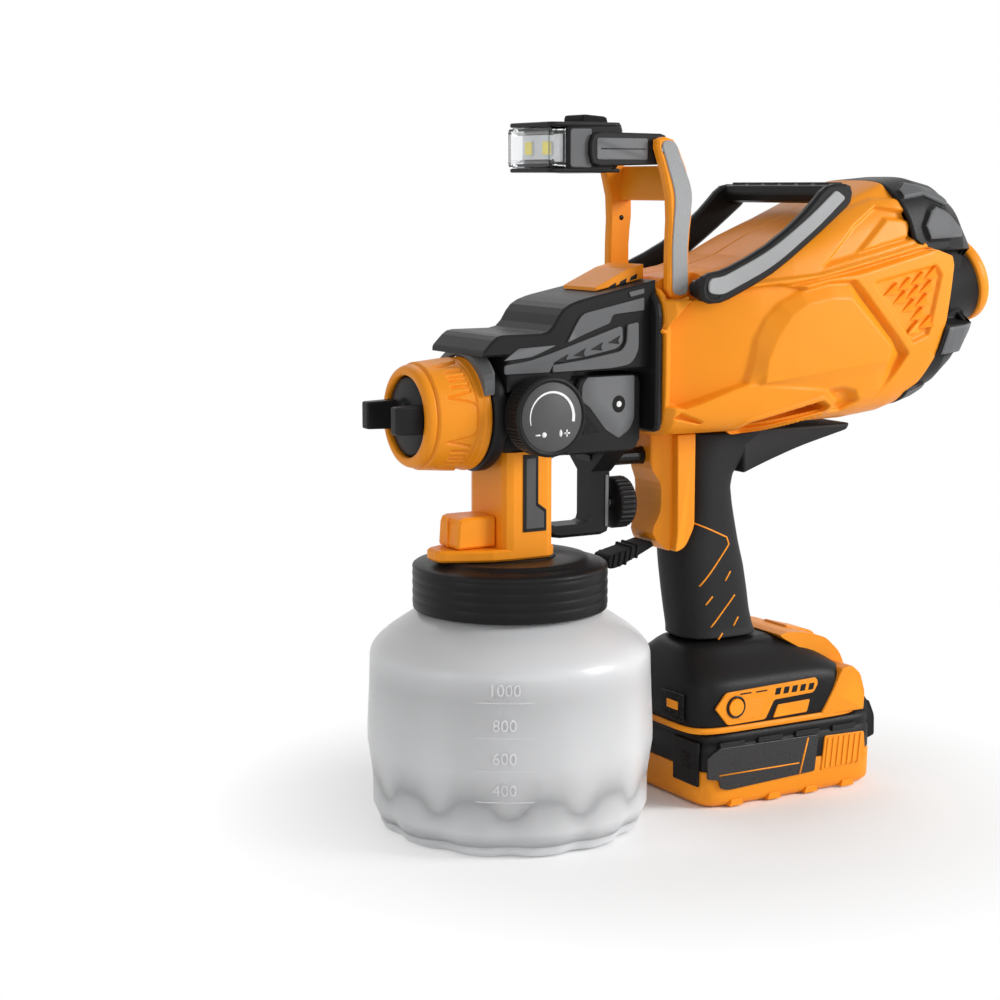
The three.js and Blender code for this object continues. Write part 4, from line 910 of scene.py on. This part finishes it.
def union_nut():
    """The nut: a plain cone with a raised pattern of panels, zig-zags and bars, four times round."""
    count, segments = 90, 8 * EIGHTH
    made = bmesh.new()

    def ring(x, radius_at):
        row = []
        for j in range(segments):
            angle = 2 * math.pi * j / segments
            r = radius_at(j)
            row.append(made.verts.new(nozzle_place(r * math.sin(angle), r * math.cos(angle), x)))
        return row

    rows = []
    for i in range(count + 1):
        x = NUT_FRONT + (NUT_REAR - NUT_FRONT) * i / count
        wall, heights = between(x, NUT_WALL)[0], nut_relief(x)
        rows.append(ring(x, lambda j: wall + heights[abs((j + EIGHTH) % (2 * EIGHTH) - EIGHTH)]))
    for radius, x in NUT_INSIDE:
        rows.append(ring(x, lambda j: radius))
    lofted(made, rows + rows[:1], capped=False)
    finished(made, "nut_relief", orange, "union_nut", ["union_nut"])


# A horn's sections: x, its inner and outer distance from the middle plane, and half its height.
HORN = (
    (-49.5, 9.6, 17.2, 6.6), (-52.5, 9.9, 17.1, 6.4), (-58, 10.6, 17.0, 6.2), (-62, 10.9, 16.9, 6.1),
    (-65.5, 11.2, 16.7, 6.0),
)


def air_cap():
    """The black face plate, slightly domed, and two square horns that taper to their tips."""
    profile = [(5.8, -51.6), (7.2, -52.6), (9, -52.4), (13, -52.0), (16.4, -51.5), (17.3, -51.0),
               (17.6, -50.2), (17.6, -49.0), (20.2, -48.8), (20.2, -22.9), (5.8, -22.9), (5.8, -51.6)]
    turned("cap_plate", profile, nozzle_place, black, "air_cap", 96, None, ["air_cap"])
    for name, side in SIDES:
        def at(v, w, x):
            return Vector((x, side * v, NOZZLE_Z + w)) * MM
        made = bmesh.new()
        rows = []
        for x, inner_y, outer_y, half in HORN:
            rows.append([made.verts.new(at(*p, x)) for p in (
                (inner_y, -half), (outer_y, -half), (outer_y, half), (inner_y, half))])
        lofted(made, rows)
        rounded(finished(made, "horn_" + name, black, "air_cap"), 0.9, 3, 40)
    dress("fluid_tip", steel, 0.2)
    dress("needle", steel)
    dress("needle_spring", steel)
    profile = [(9.8, -22.0), (24.4, -22.0), (25.4, -21.4), (25.9, -20.4), (25.9, -17), (25.4, -15.8),
               (9.8, -15.3), (9.8, -22.0)]
    turned("head_flange", profile, nozzle_place, black, "sprayer", 128, None, ["front_collar"])


# ---- spray head ----


def panels(name, corners, y, thick, material, edge=0.35, body="sprayer"):
    """The same thin panel on both sides of the head."""
    both_sides(name, corners, y, y + thick, material, body, edge, steps=4)


COVER_Y = 24.0
ARROWS = ((8.6, 211.4), (17.6, 213.6), (26.6, 216.0), (35.6, 218.6))


def head_cover():
    dress("head_body", black, 0.8)
    dress("head_cover", black, 1.1, 3)
    arrow_panel = ((-17, 211.0, 1), (-5, 212.4, 3), (6, 215.2, 4), (43.2, 226.4, 2), (43.6, 219, 3),
                   (40.5, 216.2, 3), (24, 213.2, 3), (8, 211.4), (5.5, 207), (-17, 207, 1))
    panels("arrow_panel", arrow_panel, COVER_Y - 0.2, 1.1, grey)
    border = ((7.0, 210.2), (24, 212.0, 3), (42.6, 215.0, 4), (45.4, 218.6, 4), (45.8, 226.6, 1),
              (51.6, 227.6, 1), (51.8, 215, 6), (48, 209.0, 5), (38, 207.6, 3), (7.0, 207.0))
    panels("border_panel", border, COVER_Y - 0.2, 1.5, grey)
    wedge = ((-17.2, 213.0, 0.6), (-10, 218.0, 1), (9.0, 218.8, 1), (-3.6, 214.0, 2))
    panels("wedge_panel", wedge, COVER_Y - 0.2, 0.9, grey)
    upper = ((14.8, 219.8, 0.6), (18.6, 226.6, 3), (22.2, 232.0, 3), (54.6, 238.4, 0.6), (54.6, 232.8, 0.6),
             (38, 231.4, 2), (36.6, 227.6, 1), (24, 223.4, 4))
    panels("upper_panel", upper, COVER_Y - 0.2, 1.1, grey)
    bar = ((46.8, 241.0, 0.5), (54.8, 242.4, 0.5), (54.8, 240.2, 0.5), (47.6, 238.8, 0.5))
    panels("bar_panel", bar, COVER_Y - 0.2, 0.9, grey, 0.25)
    for i, (x, z) in enumerate(ARROWS):
        arrow = ((x, z + 0.3, 0.3), (x + 6.4, z + 3.4, 0.3), (x + 5.2, z + 1.2, 0.5), (x + 6.0, z - 0.4, 0.3))
        panels(f"arrow_{i}", arrow, COVER_Y + 0.4, 0.75, black, 0.15)


def front_chamfer():
    """The sloping grey band round the front of the cover, just behind the nut."""
    made = bmesh.new()
    rows = []
    for radius, x in ((25.9, -26.9), (28.6, -26.6), (31.6, -22.4), (31.2, -21.6), (26.6, -21.8)):
        row = []
        for i in range(25):
            angle = math.radians(22 + 136 * i / 24)
            u = radius * math.cos(angle)
            v = radius * math.sin(angle)
            row.append(made.verts.new(nozzle_place(max(-24.4, min(24.4, u)), min(v, 35.8), x)))
        rows.append(row)
    for first, second in zip(rows, rows[1:] + rows[:1]):
        for i in range(24):
            made.faces.new((first[i], first[i + 1], second[i + 1], second[i]))
    made.faces.new([row[0] for row in rows])
    made.faces.new([row[-1] for row in rows][::-1])
    bmesh.ops.remove_doubles(made, verts=made.verts, dist=0.00002)
    rounded(finished(made, "front_chamfer", grey, "sprayer", smooth=False), 0.3)


def latch():
    dress("release_latch", orange, 0.8, 3)
    for i in range(3):
        x = 42.5 + 5.6 * i
        top = between(x, ((39, 242.8), (53, 247.4), (61, 251)))[0]
        slot_shade_shape = ((x, top - 2.4), (x + 3.8, top - 1.4), (x + 4.2, top + 0.9), (x + 0.8, top - 0.6))
        # Each slot is a thin glossy black sheet on the orange latch: painted shade standing for the slot's
        # depth.
        panels(f"latch_slot_{i}", slot_shade_shape, 13.7, 0.42, black_gloss, 0.1, "release_latch")


def pattern_dial():
    """The knurled dial with a grey face, a tapering arc and four plain marks."""
    place = along_y(-1, 189)

    def knurl(radius, along, angle):
        if -36.6 < along < -27.4 and radius > 16.5:
            return radius - 0.55 * (0.5 + 0.5 * math.cos(60 * angle)) ** 2
        return radius

    profile = [(0, -37.4), (15.2, -37.4), (15.6, -37.9), (16.4, -38.0), (17.1, -37.6), (17.5, -36.8),
               (17.5, -36.5)]
    profile += [(17.5, -36.4 + 1.5 * i) for i in range(7)]
    profile += [(17.5, -27.3), (17.2, -26.6), (16.2, -26.0), (0, -26.0)]
    turned("dial_knob", profile, place, black, "pattern_dial", 480, knurl, ["pattern_dial"])
    turned("dial_face", [(0, -37.75), (14.9, -37.75), (15.1, -37.5), (15.1, -37.2), (0, -37.2)], place,
           dark_grey, "pattern_dial", 96)
    dress("dial_spindle", black, 0.5)
    made = bmesh.new()
    steps = 48
    rows = []
    for i in range(steps + 1):
        t = i / steps
        angle = math.radians(196 - 208 * t)
        width = 0.35 + 1.1 * t
        inner, outer = 10.9 - width / 2, 10.9 + width / 2
        rows.append([
            made.verts.new(place(r * math.cos(angle), r * math.sin(angle), y))
            for r, y in ((inner, -37.7), (outer, -37.7), (outer, -37.9), (inner, -37.9))
        ])
    lofted(made, rows)
    finished(made, "dial_arc", white_ink, "pattern_dial", smooth=False)
    marks = (
        ("dial_minus", ((-9.2, 181.2), (-6.9, 181.2), (-6.9, 181.9), (-9.2, 181.9))),
        ("dial_plus_bar", ((5.0, 181.4), (8.0, 181.4), (8.0, 182.1), (5.0, 182.1))),
        ("dial_plus_post", ((6.15, 180.2), (6.85, 180.2), (6.85, 183.3), (6.15, 183.3))),
        ("dial_leaf", ((3.4, 179.8, 0.8), (4.4, 181.8, 1.6), (3.4, 183.9, 0.8), (2.4, 181.8, 1.6))),
    )
    for name, corners in marks:
        slab(name, corners, -37.9, -37.7, white_ink, "pattern_dial", 0)
    turned("dial_dot", [(0, -37.9), (1.15, -37.9), (1.15, -37.7), (0, -37.7)], along_y(-4.9, 181.6),
           white_ink, "pattern_dial", 24)


# ---- trigger ----


def trigger_group():
    dress("trigger", black, 1.0, 3)
    saddle = ((27.5, 203.6, 1), (52.5, 203.6, 1), (52.5, 184, 2), (49.6, 179, 2), (44.2, 175.6, 1),
              (37.2, 179.8, 1), (28.6, 190.4, 2), (24.6, 193, 1), (24.6, 200, 2))
    both_sides("saddle_panel", saddle, 20.4, 21.1, grey, "trigger", 0.35)
    window = ((25.4, 189.2, 0.6), (34.2, 178.8, 0.6), (25.2, 178.2, 0.6))
    both_sides("saddle_window", window, 20.5, 20.95, black_gloss, "trigger", 0.15)
    both_sides("pivot_eye", round_outline(44, 191, 3.4, 24, 3.9), 20.8, 21.3, black_gloss, "trigger", 0.2)
    both_sides("pivot_end", round_outline(44, 191, 1.4, 24), 20.9, 21.45, white_ink, "trigger", 0.3)
    strip = ((46.6, 133, 1), (48.4, 133, 1), (48.4, 157, 1), (46.6, 157, 1))
    both_sides("trigger_strip", strip, 5.7, 6.5, grey, "trigger", 0.2)
    dress_both("trigger_pin", steel, 0.3)

    def knurl(radius, along, angle):
        if radius > 11 and 53.4 < along < 60:
            return radius - 0.8 * (0.5 + 0.5 * math.cos(28 * angle)) ** 3
        return radius

    profile = [(0, 52.3), (10.8, 52.3), (11.6, 52.7), (12, 53.5)] + [(12, 53.6 + 1.25 * i) for i in range(5)]
    profile += [(12, 59.9), (11.4, 60.7), (10, 61.3), (6, 61.3), (5.4, 60.6), (0, 60.6)]
    turned("flow_knob_body", profile, along_x(0, 143), black, "flow_knob", 280, knurl, ["flow_knob"])
    dress("flow_screw", steel)
    dress("switch_plunger", black_gloss, 0.5)
    dress("trigger_switch", black, 0.4)


# ---- handle, foot and battery ----


def skin(name, rings, material, body, replaced, subdivide=2):
    """A closed skin over rings of points, smoothed by subdivision."""
    made = bmesh.new()
    lofted(made, [[made.verts.new(p * MM) for p in ring] for ring in rings])
    piece = finished(made, name, material, body, replaced)
    if subdivide:
        smooth = piece.modifiers.new("smooth", "SUBSURF")
        smooth.levels = smooth.render_levels = subdivide
    return piece


# Grip stations: z, front x, rear x, half width.
GRIP = (
    (75.6, 90.0, 132.5, 17.0), (80, 89.6, 130.6, 16.2), (88, 88.2, 128.4, 16.2), (98, 86.8, 126.6, 16.6),
    (110, 85.4, 124.0, 17.0), (120, 84.6, 121.0, 17.0), (130, 88.0, 118.2, 17.0), (140, 89.3, 115.8, 17.0),
    (148, 89.3, 114.6, 17.0), (154, 89.3, 116.0, 17.0), (160, 89.3, 121.4, 17.0), (166, 89.3, 130.5, 17.0),
    (170, 89.3, 141.0, 17.0), (174.4, 89.3, 152.0, 17.0),
)
ACCENT = ((89.8, 151.8), (90.2, 132.5), (107.6, 124.6), (109.0, 121.0), (93.6, 102.0))
DASHES = (
    ((110.2, 108.1), (107.3, 103.7)), ((100.4, 96.8), (97.1, 92.8)), ((113.2, 96.4), (100.2, 81.8)),
    ((115.7, 85.5), (112.9, 81.3)), ((106.4, 78.6), (104.0, 75.8)),
)


def grip_width(x, z):
    """The grip's half width at a point of its side view."""
    front, rear, half = between(z, GRIP)
    middle, reach = (front + rear) / 2, (rear - front) / 2
    share = min(1.0, abs(x - middle) / reach)
    return half * max(0.0, 1 - share ** 3.4) ** (1 / 2.4)


def line_on_grip(name, points, width=0.8):
    """A thin moulded line that follows the grip's surface, on both sides."""
    dense = []
    for (ax, az), (bx, bz) in zip(points, points[1:]):
        steps = max(2, int(math.hypot(bx - ax, bz - az) / 1.2))
        dense += [(ax + (bx - ax) * i / steps, az + (bz - az) * i / steps) for i in range(steps)]
    dense.append(points[-1])
    for side_name, side in SIDES:
        made = bmesh.new()
        rows = []
        for i, (x, z) in enumerate(dense):
            ahead = dense[min(i + 1, len(dense) - 1)]
            behind = dense[max(i - 1, 0)]
            dx, dz = ahead[0] - behind[0], ahead[1] - behind[1]
            size = math.hypot(dx, dz)
            nx, nz = -dz / size * width / 2, dx / size * width / 2
            row = []
            for s, lift in ((-1, -0.5), (-0.8, 0.22), (0.8, 0.22), (1, -0.5)):
                px, pz = x + nx * s, z + nz * s
                y = grip_width(px, pz) + lift
                row.append(made.verts.new(Vector((px, side * y, pz)) * MM))
            rows.append(row)
        lofted(made, rows)
        finished(made, f"{name}_{side_name}", orange_soft, "sprayer")


def grip():
    rings = []
    dense = []
    for low, high in zip(GRIP, GRIP[1:]):
        dense += [tuple(a + (b - a) * i / 4 for a, b in zip(low, high)) for i in range(4)]
    dense.append(GRIP[-1])
    for z, front, rear, _ in dense:
        ring = []
        middle, reach = (front + rear) / 2, (rear - front) / 2
        for i in range(48):
            angle = 2 * math.pi * (i + 0.5) / 48
            share = math.cos(angle)
            x = middle + reach * math.copysign(abs(share) ** 0.72, share)
            y = math.copysign(grip_width(x, z), math.sin(angle))
            ring.append(Vector((x, y, z)))
        rings.append(ring)
    form = skin("grip_form", rings, grip_rubber, "sprayer", ["grip_left", "grip_right"], 1)
    made = bmesh.new()
    place = Matrix.Translation(Vector((88, 0, 164)) * MM) @ Matrix.Rotation(math.pi / 2, 4, "Y")
    bore = 4.7 * MM
    bmesh.ops.create_cone(made, cap_ends=True, segments=48, radius1=bore, radius2=bore, depth=22 * MM,
                          matrix=place)
    cut_away(form, mesh_from(made, "plunger_bore"))
    tail = ((116, 174.6), (180, 174.6), (178.5, 171.4, 1.5), (150, 164.8, 8), (130, 158.6, 6), (117, 154))
    slab("grip_tail", tail, -16.9, 16.9, grip_rubber, "sprayer", 2.2, segments=4)
    line_on_grip("accent_line", ACCENT)
    for i, dash in enumerate(DASHES):
        line_on_grip(f"accent_dash_{i}", dash)
    dress("handle_front", orange, 1.2, 3)
    cheek = ((79, 174.6), (89.1, 174.6), (89.1, 131, 3), (84, 121.5, 4), (78.2, 119.6, 2), (79.4, 128, 4))
    both_sides("column_cheek", cheek, 12.0, 17.3, orange, "sprayer", 1.1, segments=3)


def boot():
    """The ribbed rubber boot between the column and the collar."""
    arm = ((48.6, 112.8, 2), (48.6, 119, 2), (60, 121.6, 3), (72, 124.5, 1.5), (74, 121.8, 1), (62, 116.5, 4),
           (54, 113.2, 3))
    slab("boot_arm", arm, -6.5, 6.5, rubber, "sprayer", 1.2, segments=3, replaced=["ribbed_boot"])
    for i in range(5):
        x = 50.6 + 3.1 * i
        z = 113.2 + 0.5 * i + (1.6 if i > 2 else 0)
        rib = ((x, z, 0.4), (x + 1.3, z, 0.4), (x + 2.5, z + 6.6, 0.4), (x + 1.2, z + 6.6, 0.4))
        slab(f"boot_rib_{i}", rib, -7.2, 7.2, rubber, "sprayer", 0.4)


FOOT = ((36.2, 80.5, 176.0, 35.2, 7), (37.5, 79.2, 176.4, 36.0, 7), (46, 78.2, 176.4, 36.2, 7),
        (55, 78.8, 173.5, 36.2, 6.5), (59.5, 80.0, 168.5, 35.0, 6), (62.5, 81.0, 164.0, 31.6, 5.5),
        (65.5, 82.0, 160.0, 27.4, 5), (69, 83.5, 156.0, 23.4, 4), (72.5, 86.0, 150.5, 20.4, 3.2),
        (75.2, 88.5, 144.0, 18.6, 2.8))


def foot_ring(level, grow=0.0):
    """One level of the foot: z, front x, rear x, half width and squareness."""
    z, front, rear, half, power = level
    return squared_ring(z, (front + rear) / 2, (rear - front) / 2 + grow, half + grow, power, 72)


def foot():
    skin("foot_form", [foot_ring(level) for level in FOOT], black, "sprayer", ["foot"], 1)
    trim = [foot_ring((z, 79.2, 176.4, 36.0, 7), grow) for z,
            grow in ((36.0, 0.3), (36.2, 0.75), (38.4, 0.75), (38.8, 0.2))]
    skin("foot_trim", trim, orange, "sprayer", [], 0)
    band = ((144, 37, 1), (177.4, 37, 1), (178.4, 43, 2), (176.8, 54, 2), (172.6, 63.5, 3), (164, 71.5, 3),
            (152, 75.2, 3), (141, 76.4, 2), (136, 75.4, 1), (139, 73.2, 1), (152, 66, 2), (158, 57, 2),
            (149, 42, 2))
    wing = ((150, 37.4), (176.4, 37.4, 1), (177, 46, 2), (174, 55.5, 2), (168.6, 60.2, 2), (162.6, 59.0, 1),
            (157.4, 49.0, 1))
    both_sides("band_wing", wing, 21, 36.9, orange, "sprayer", 1.3, segments=3)
    slab("band_form", band, -22, 22, orange, "sprayer", 1.6, segments=3, replaced=["foot_band"])
    ridge = ((150, 76.6, 1), (166, 72.2, 2), (174.6, 62, 2), (177.8, 50, 1), (175.6, 49), (171.5, 60),
             (164, 69.4), (149, 73.6))
    slab("band_ridge", ridge, -9, 9, orange, "sprayer", 0.8, segments=3)
    panel = ((88.6, 48.2, 1), (94.6, 55.2, 1.5), (147.2, 56.6, 1.5), (148.2, 53.6, 1), (145.6, 49.4, 1.5),
             (122.4, 48.6, 1), (117.4, 39.9, 1.5), (95.8, 39.6, 1.5))
    slab("indicator_frame", panel, -36.9, -35.6, orange, "sprayer", 0.45, replaced=["indicator_panel"])
    plate = ((124.6, 46.0, 0.8), (143.6, 46.4, 0.8), (141.8, 40.4, 0.8), (122.0, 40.0, 0.8))
    slab("indicator_badge", plate, -36.8, -35.8, orange, "sprayer", 0.4)
    for i in range(5):
        x = 122.4 + 4.9 * i
        light = ((x, 51.0, 0.3), (x + 3.1, 51.1, 0.3), (x + 3.9, 54.3, 0.3), (x + 0.8, 54.2, 0.3))
        slab(f"charge_light_{i}", light, -37.0, -36.6, black_gloss, "sprayer", 0.1)
    for i in range(2):
        x = 102.4 + 9.2 * i
        dash = ((x, 53.4), (x + 6.4, 53.5), (x + 6.4, 54.2), (x, 54.1))
        slab(f"panel_dash_{i}", dash, -37.0, -36.6, black_gloss, "sprayer", 0.1)
    dress("indicator_button", orange, 0.4)
    ring = [(4.3, -37.3), (5.3, -37.3), (5.3, -36.4), (4.3, -36.4), (4.3, -37.3)]
    turned("indicator_ring", ring, along_y(100, 48), black_gloss, "sprayer")
    button = ((100, 43.0, 2), (103, 41.4, 2), (113.4, 41.8, 2), (116.4, 50.6, 1), (100.6, 50.2, 1))
    slab("button_bezel", button, -37.15, -36.6, orange_soft, "sprayer", 0.4)
    slab("foot_notch", ((77.6, 41, 0.6), (78.6, 41), (78.6, 54), (77.6, 54, 0.6)), -26, -8, black_gloss,
         "sprayer", 0.2)
    slab("notch_lamp", ((77.3, 46, 0.3), (78.2, 46), (78.2, 50), (77.3, 50, 0.3)), -22, -13, orange,
         "sprayer", 0.2)
    dress("control_board", grey, 0.2)
    dress("battery_terminals", black, 0.3)


def battery_ring(z, shrink):
    """One level of the battery's case, drawn in from its full size."""
    return squared_ring(z, 135, 51 - shrink, 36 - shrink, 9, 96)


def battery():
    lower = [battery_ring(z, s) for z,
             s in ((0, 3.4), (0.5, 2.4), (2.2, 0.8), (3.6, 0.3), (16.4, 0.1), (17.1, 0.5))]
    skin("battery_tray", lower, orange, "battery", ["battery_lower_case"], 0)
    rims = ((17.2, 0.7), (17.8, 0.3), (28.4, 0.3), (29.2, 0.9), (30.4, 1.0), (31.2, 0.6), (34.2, 1.0),
            (35.6, 2.4))
    upper = [battery_ring(z, s) for z, s in rims]
    skin("battery_cover", upper, black, "battery", ["battery_upper_case"], 0)
    hump = ((176.8, 30), (176.8, 45.6, 1), (180.6, 43.8, 2), (183, 40, 1), (184.6, 39.4, 1), (188, 31.8, 2),
            (188.2, 22, 1), (182, 20))
    slab("battery_hump", hump, -31, 31, black, "battery", 1.2, segments=3)
    label = ((88.4, 27.2, 1.5), (92, 29.0, 1), (149.6, 28.4, 1), (147.4, 10.6, 1), (97, 8.4, 2),
             (92.6, 9.6, 1), (91.4, 13.8, 1), (84.9, 15.0, 1), (84.9, 25.0, 1))
    both_sides("label_plate", label, 35.4, 36.6, label_black, "battery", 0.3)
    line = ((91.4, 16.4), (138.0, 16.2), (138.0, 15.6), (91.4, 15.8))
    both_sides("label_line", line, 36.5, 36.75, orange, "battery", 0)
    slant = ((142.6, 27.6), (143.5, 27.6), (138.9, 10.6), (138.0, 10.6))
    both_sides("label_slant", slant, 36.5, 36.75, orange, "battery", 0)
    field = ((151.4, 10.2, 1), (153.4, 27.0, 1), (177.2, 26.4, 1), (178.6, 12.4, 2))
    both_sides("rib_field", field, 35.5, 36.5, orange, "battery")
    for i in range(7):
        x = 153.4 + 3.3 * i
        rib = ((x, 11.4, 0.3), (x + 1.5, 11.4, 0.3), (x + 3.0, 25.8, 0.3), (x + 1.5, 25.8, 0.3))
        both_sides(f"battery_rib_{i}", rib, 36.3, 37.0, orange_soft, "battery", 0.35)
    for i in range(4):
        x = 98 + 22 * i
        tab = ((x, 0.2), (x + 8, 0.2), (x + 7, 3.4, 0.4), (x + 1, 3.4, 0.4))
        both_sides(f"tray_tab_{i}", tab, 33, 36.2, orange, "battery", 0.3)
        step = ((x - 6, 28.8, 0.3), (x + 8, 28.8, 0.3), (x + 8, 31.4, 0.3), (x - 6, 31.4, 0.3))
        both_sides(f"cover_step_{i}", step, 34.6, 36.3, black, "battery", 0.35)
    slab("battery_nose", ((83.4, 10, 0.6), (84.8, 10), (84.8, 31), (83.4, 31, 0.6)), -30, -10, black,
         "battery", 0.4)
    slab("nose_button", ((83.0, 17, 0.4), (84.2, 17), (84.2, 25), (83.0, 25, 0.4)), -24, -17, black_gloss,
         "battery", 0.3)
    dress("battery_latch", dark_grey, 0.6)
    dress("battery_cells", cell_sleeve, 0.3)


# ---- carrying handle ----


def carry_handle():
    dress("carry_handle", black, 1.3, 3)
    inlay = ((76.2, 240.4, 3), (84, 239.6, 3), (111.6, 251.4, 12), (137.4, 269.6, 8), (152.4, 282.2, 2),
             (146.6, 285.8, 2), (131.4, 273.4, 10), (109.6, 258.6, 12), (84, 247.6, 4), (76.6, 247.0, 3))
    both_sides("handle_inlay", inlay, 42.6, 43.9, silver, "carry_handle", 0.55, segments=3, steps=7)
    both_sides("pivot_boss", round_outline(80, 242, 5.8, 40), 33.5, 38.4, black, "sprayer", 0.8)
    dress_both("handle_pin", black_gloss, 0.4)
    for i in range(6):
        y = -32 + 12.8 * i
        facet = ((146.5, y - 5.2, 1.2), (146.5, y + 5.2, 1.2), (157.0, y + 3.4, 1.2), (157.0, y - 3.4, 1.2))
        slab(f"bar_facet_{i}", facet, 288.0, 289.3, black, "carry_handle", 0.6, floor_place)


# ---- work lamp ----


def lamp():
    dress("lamp_frame", orange, 0.9, 3)
    inlay = ((68.2, 239.0, 4), (76.6, 239.0, 4), (75.7, 261, 6), (78.5, 285, 6), (68.4, 307.8, 4),
             (60.9, 307.2, 4), (69.3, 284, 6), (67.7, 261, 6))
    both_sides("arm_inlay", inlay, 26.7, 27.7, silver, "lamp_frame", 0.45, segments=3, steps=7)
    dress_both("frame_pin", steel, 0.3)
    dress_both("lamp_pin", steel, 0.3)
    plate = ((31.0, 299.0, 1.5), (57.6, 299.0, 1), (57.6, 308.4, 1), (31.0, 308.4, 1.5))
    both_sides("link_plate", plate, 21.4, 22.2, grey, "lamp_head")
    # A thin black line along the plate stands for its groove: painted shade in the groove.
    groove = ((33, 303.5), (56.4, 303.5), (56.4, 303.9), (33, 303.9))
    both_sides("link_groove_shade", groove, 22.0, 22.4, black, "lamp_head", 0)
    cheek = ((19.2, 295.8, 1.5), (30, 295.6, 1), (30, 312.4, 1), (19.2, 312.2, 1.5))
    both_sides("lamp_cheek", cheek, 18.6, 19.4, grey, "lamp_head", 0.35)
    # Thin glossy black discs stand for the arm's holes: painted shade inside the holes.
    both_sides("arm_hole_shade", round_outline(72.6, 273, 1.2, 16), 21.9, 22.05, black_gloss, "lamp_frame", 0)
    dress("lamp_head", black, 0.8, 3)
    for name, low, high in (("top", 313.2, 315.2), ("bottom", 293.4, 295.2)):
        cap = ((9.4, -18.4, 3), (46.5, -18.9, 4), (46.5, 18.9, 4), (9.4, 18.4, 3))
        slab("lamp_" + name, cap, low, high, black, "lamp_head", 0.7, floor_place, segments=3)
    dress("lamp_lens", clear, 0.8, 3)
    dress("lamp_board", reflector, 0.2)
    for i, y in enumerate((-7.5, 7.5)):
        chip = ((y - 2.8, 301.2), (y + 2.8, 301.2), (y + 2.8, 306.8), (y - 2.8, 306.8))
        slab(f"led_chip_{i}", chip, 14.3, 14.6, led_yellow, "lamp_head", 0.05, front_place)
    dress("lamp_button", rubber, 0.8, 3)


# ---- everything inside ----


def inner_pieces():
    for name, material in (("bottle_gasket", rubber), ("bottle_lid", black), ("pickup_tube", milky),
                           ("motor", motor_metal), ("impeller", grey), ("air_duct", grey)):
        dress(name, material, 0.2)


# ---- studio ----


def seen_directly(tree):
    """1 for what the camera, a reflection or a clear piece shows, and 0 for the light itself."""
    path = tree.nodes.new("ShaderNodeLightPath")
    last = path.outputs["Is Camera Ray"]
    for kind in ("Is Glossy Ray", "Is Transmission Ray"):
        most = tree.nodes.new("ShaderNodeMath")
        most.operation = "MAXIMUM"
        tree.links.new(last, most.inputs[0])
        tree.links.new(path.outputs[kind], most.inputs[1])
        last = most.outputs[0]
    return last


def floor_material():
    """Pale paper that keeps the shadow near the object and runs out to plain white further off."""
    material = bpy.data.materials.new("floor_paper")
    material.use_nodes = True
    tree = material.node_tree
    shader = tree.nodes["Principled BSDF"]
    shader.inputs["Base Color"].default_value = (0.97, 0.97, 0.97, 1)
    shader.inputs["Roughness"].default_value = 0.9
    shader.inputs["Specular IOR Level"].default_value = 0.1
    place = tree.nodes.new("ShaderNodeTexCoord")
    far = tree.nodes.new("ShaderNodeVectorMath")
    far.operation = "LENGTH"
    tree.links.new(place.outputs["Object"], far.inputs[0])
    share = spread(tree, far.outputs["Value"], 0.0, 1.0, 0.07, 0.21)
    direct = tree.nodes.new("ShaderNodeMath")
    direct.operation = "MULTIPLY"
    tree.links.new(share, direct.inputs[0])
    tree.links.new(seen_directly(tree), direct.inputs[1])
    glow = node_of(tree, "ShaderNodeEmission", Color=(1, 1, 1, 1), Strength=1.0)
    joined = tree.nodes.new("ShaderNodeMixShader")
    tree.links.new(direct.outputs[0], joined.inputs[0])
    tree.links.new(shader.outputs[0], joined.inputs[1])
    tree.links.new(glow.outputs[0], joined.inputs[2])
    tree.links.new(joined.outputs[0], tree.nodes["Material Output"].inputs["Surface"])
    return material


def studio():
    world = bpy.data.worlds.new("world")
    bpy.context.scene.world = world
    world.use_nodes = True
    tree = world.node_tree
    background = tree.nodes["Background"]
    background.inputs["Color"].default_value = (1, 1, 1, 1)
    strength = spread(tree, seen_directly(tree), WORLD_STRENGTH, 1.0, 0.0, 1.0)
    tree.links.new(strength, background.inputs["Strength"])
    made = bmesh.new()
    bmesh.ops.create_grid(made, x_segments=1, y_segments=1, size=3.0)
    floor = linked("floor", mesh_from(made, "floor", floor_material()))
    floor.location = (0.08, 0.0, -0.0006)
    for name, place, target, size, power in LAMPS:
        data = bpy.data.lights.new(name, "AREA")
        data.shape = "RECTANGLE"
        data.size, data.size_y = size
        data.energy = power
        lamp_object = linked(name, data)
        lamp_object.location = Vector(place)
        lamp_object.rotation_euler = (Vector(target) - Vector(place)).to_track_quat("-Z", "Y").to_euler()


WORLD_STRENGTH = 0.3
MIDDLE = (0.08, 0.0, 0.16)
# Name, place, target, size and power in watts.
LAMPS = (
    ("key", (1.35, -1.2, 0.85), MIDDLE, (0.7, 0.9), 30),
    ("front_fill", (-0.7, -1.5, 0.7), MIDDLE, (0.8, 0.8), 3),
    ("left_box", (-1.6, -0.2, 0.6), MIDDLE, (0.5, 1.0), 5),
    ("rear", (0.3, 1.2, 1.5), MIDDLE, (1.0, 0.8), 4),
)

add_camera()
motor_housing()
front_wall()
air_intake()
bottle()
collar()
neck()
union_nut()
air_cap()
head_cover()
front_chamfer()
latch()
pattern_dial()
trigger_group()
grip()
boot()
foot()
battery()
carry_handle()
lamp()
inner_pieces()
studio()
bpy.context.scene.view_settings.view_transform = "Standard"
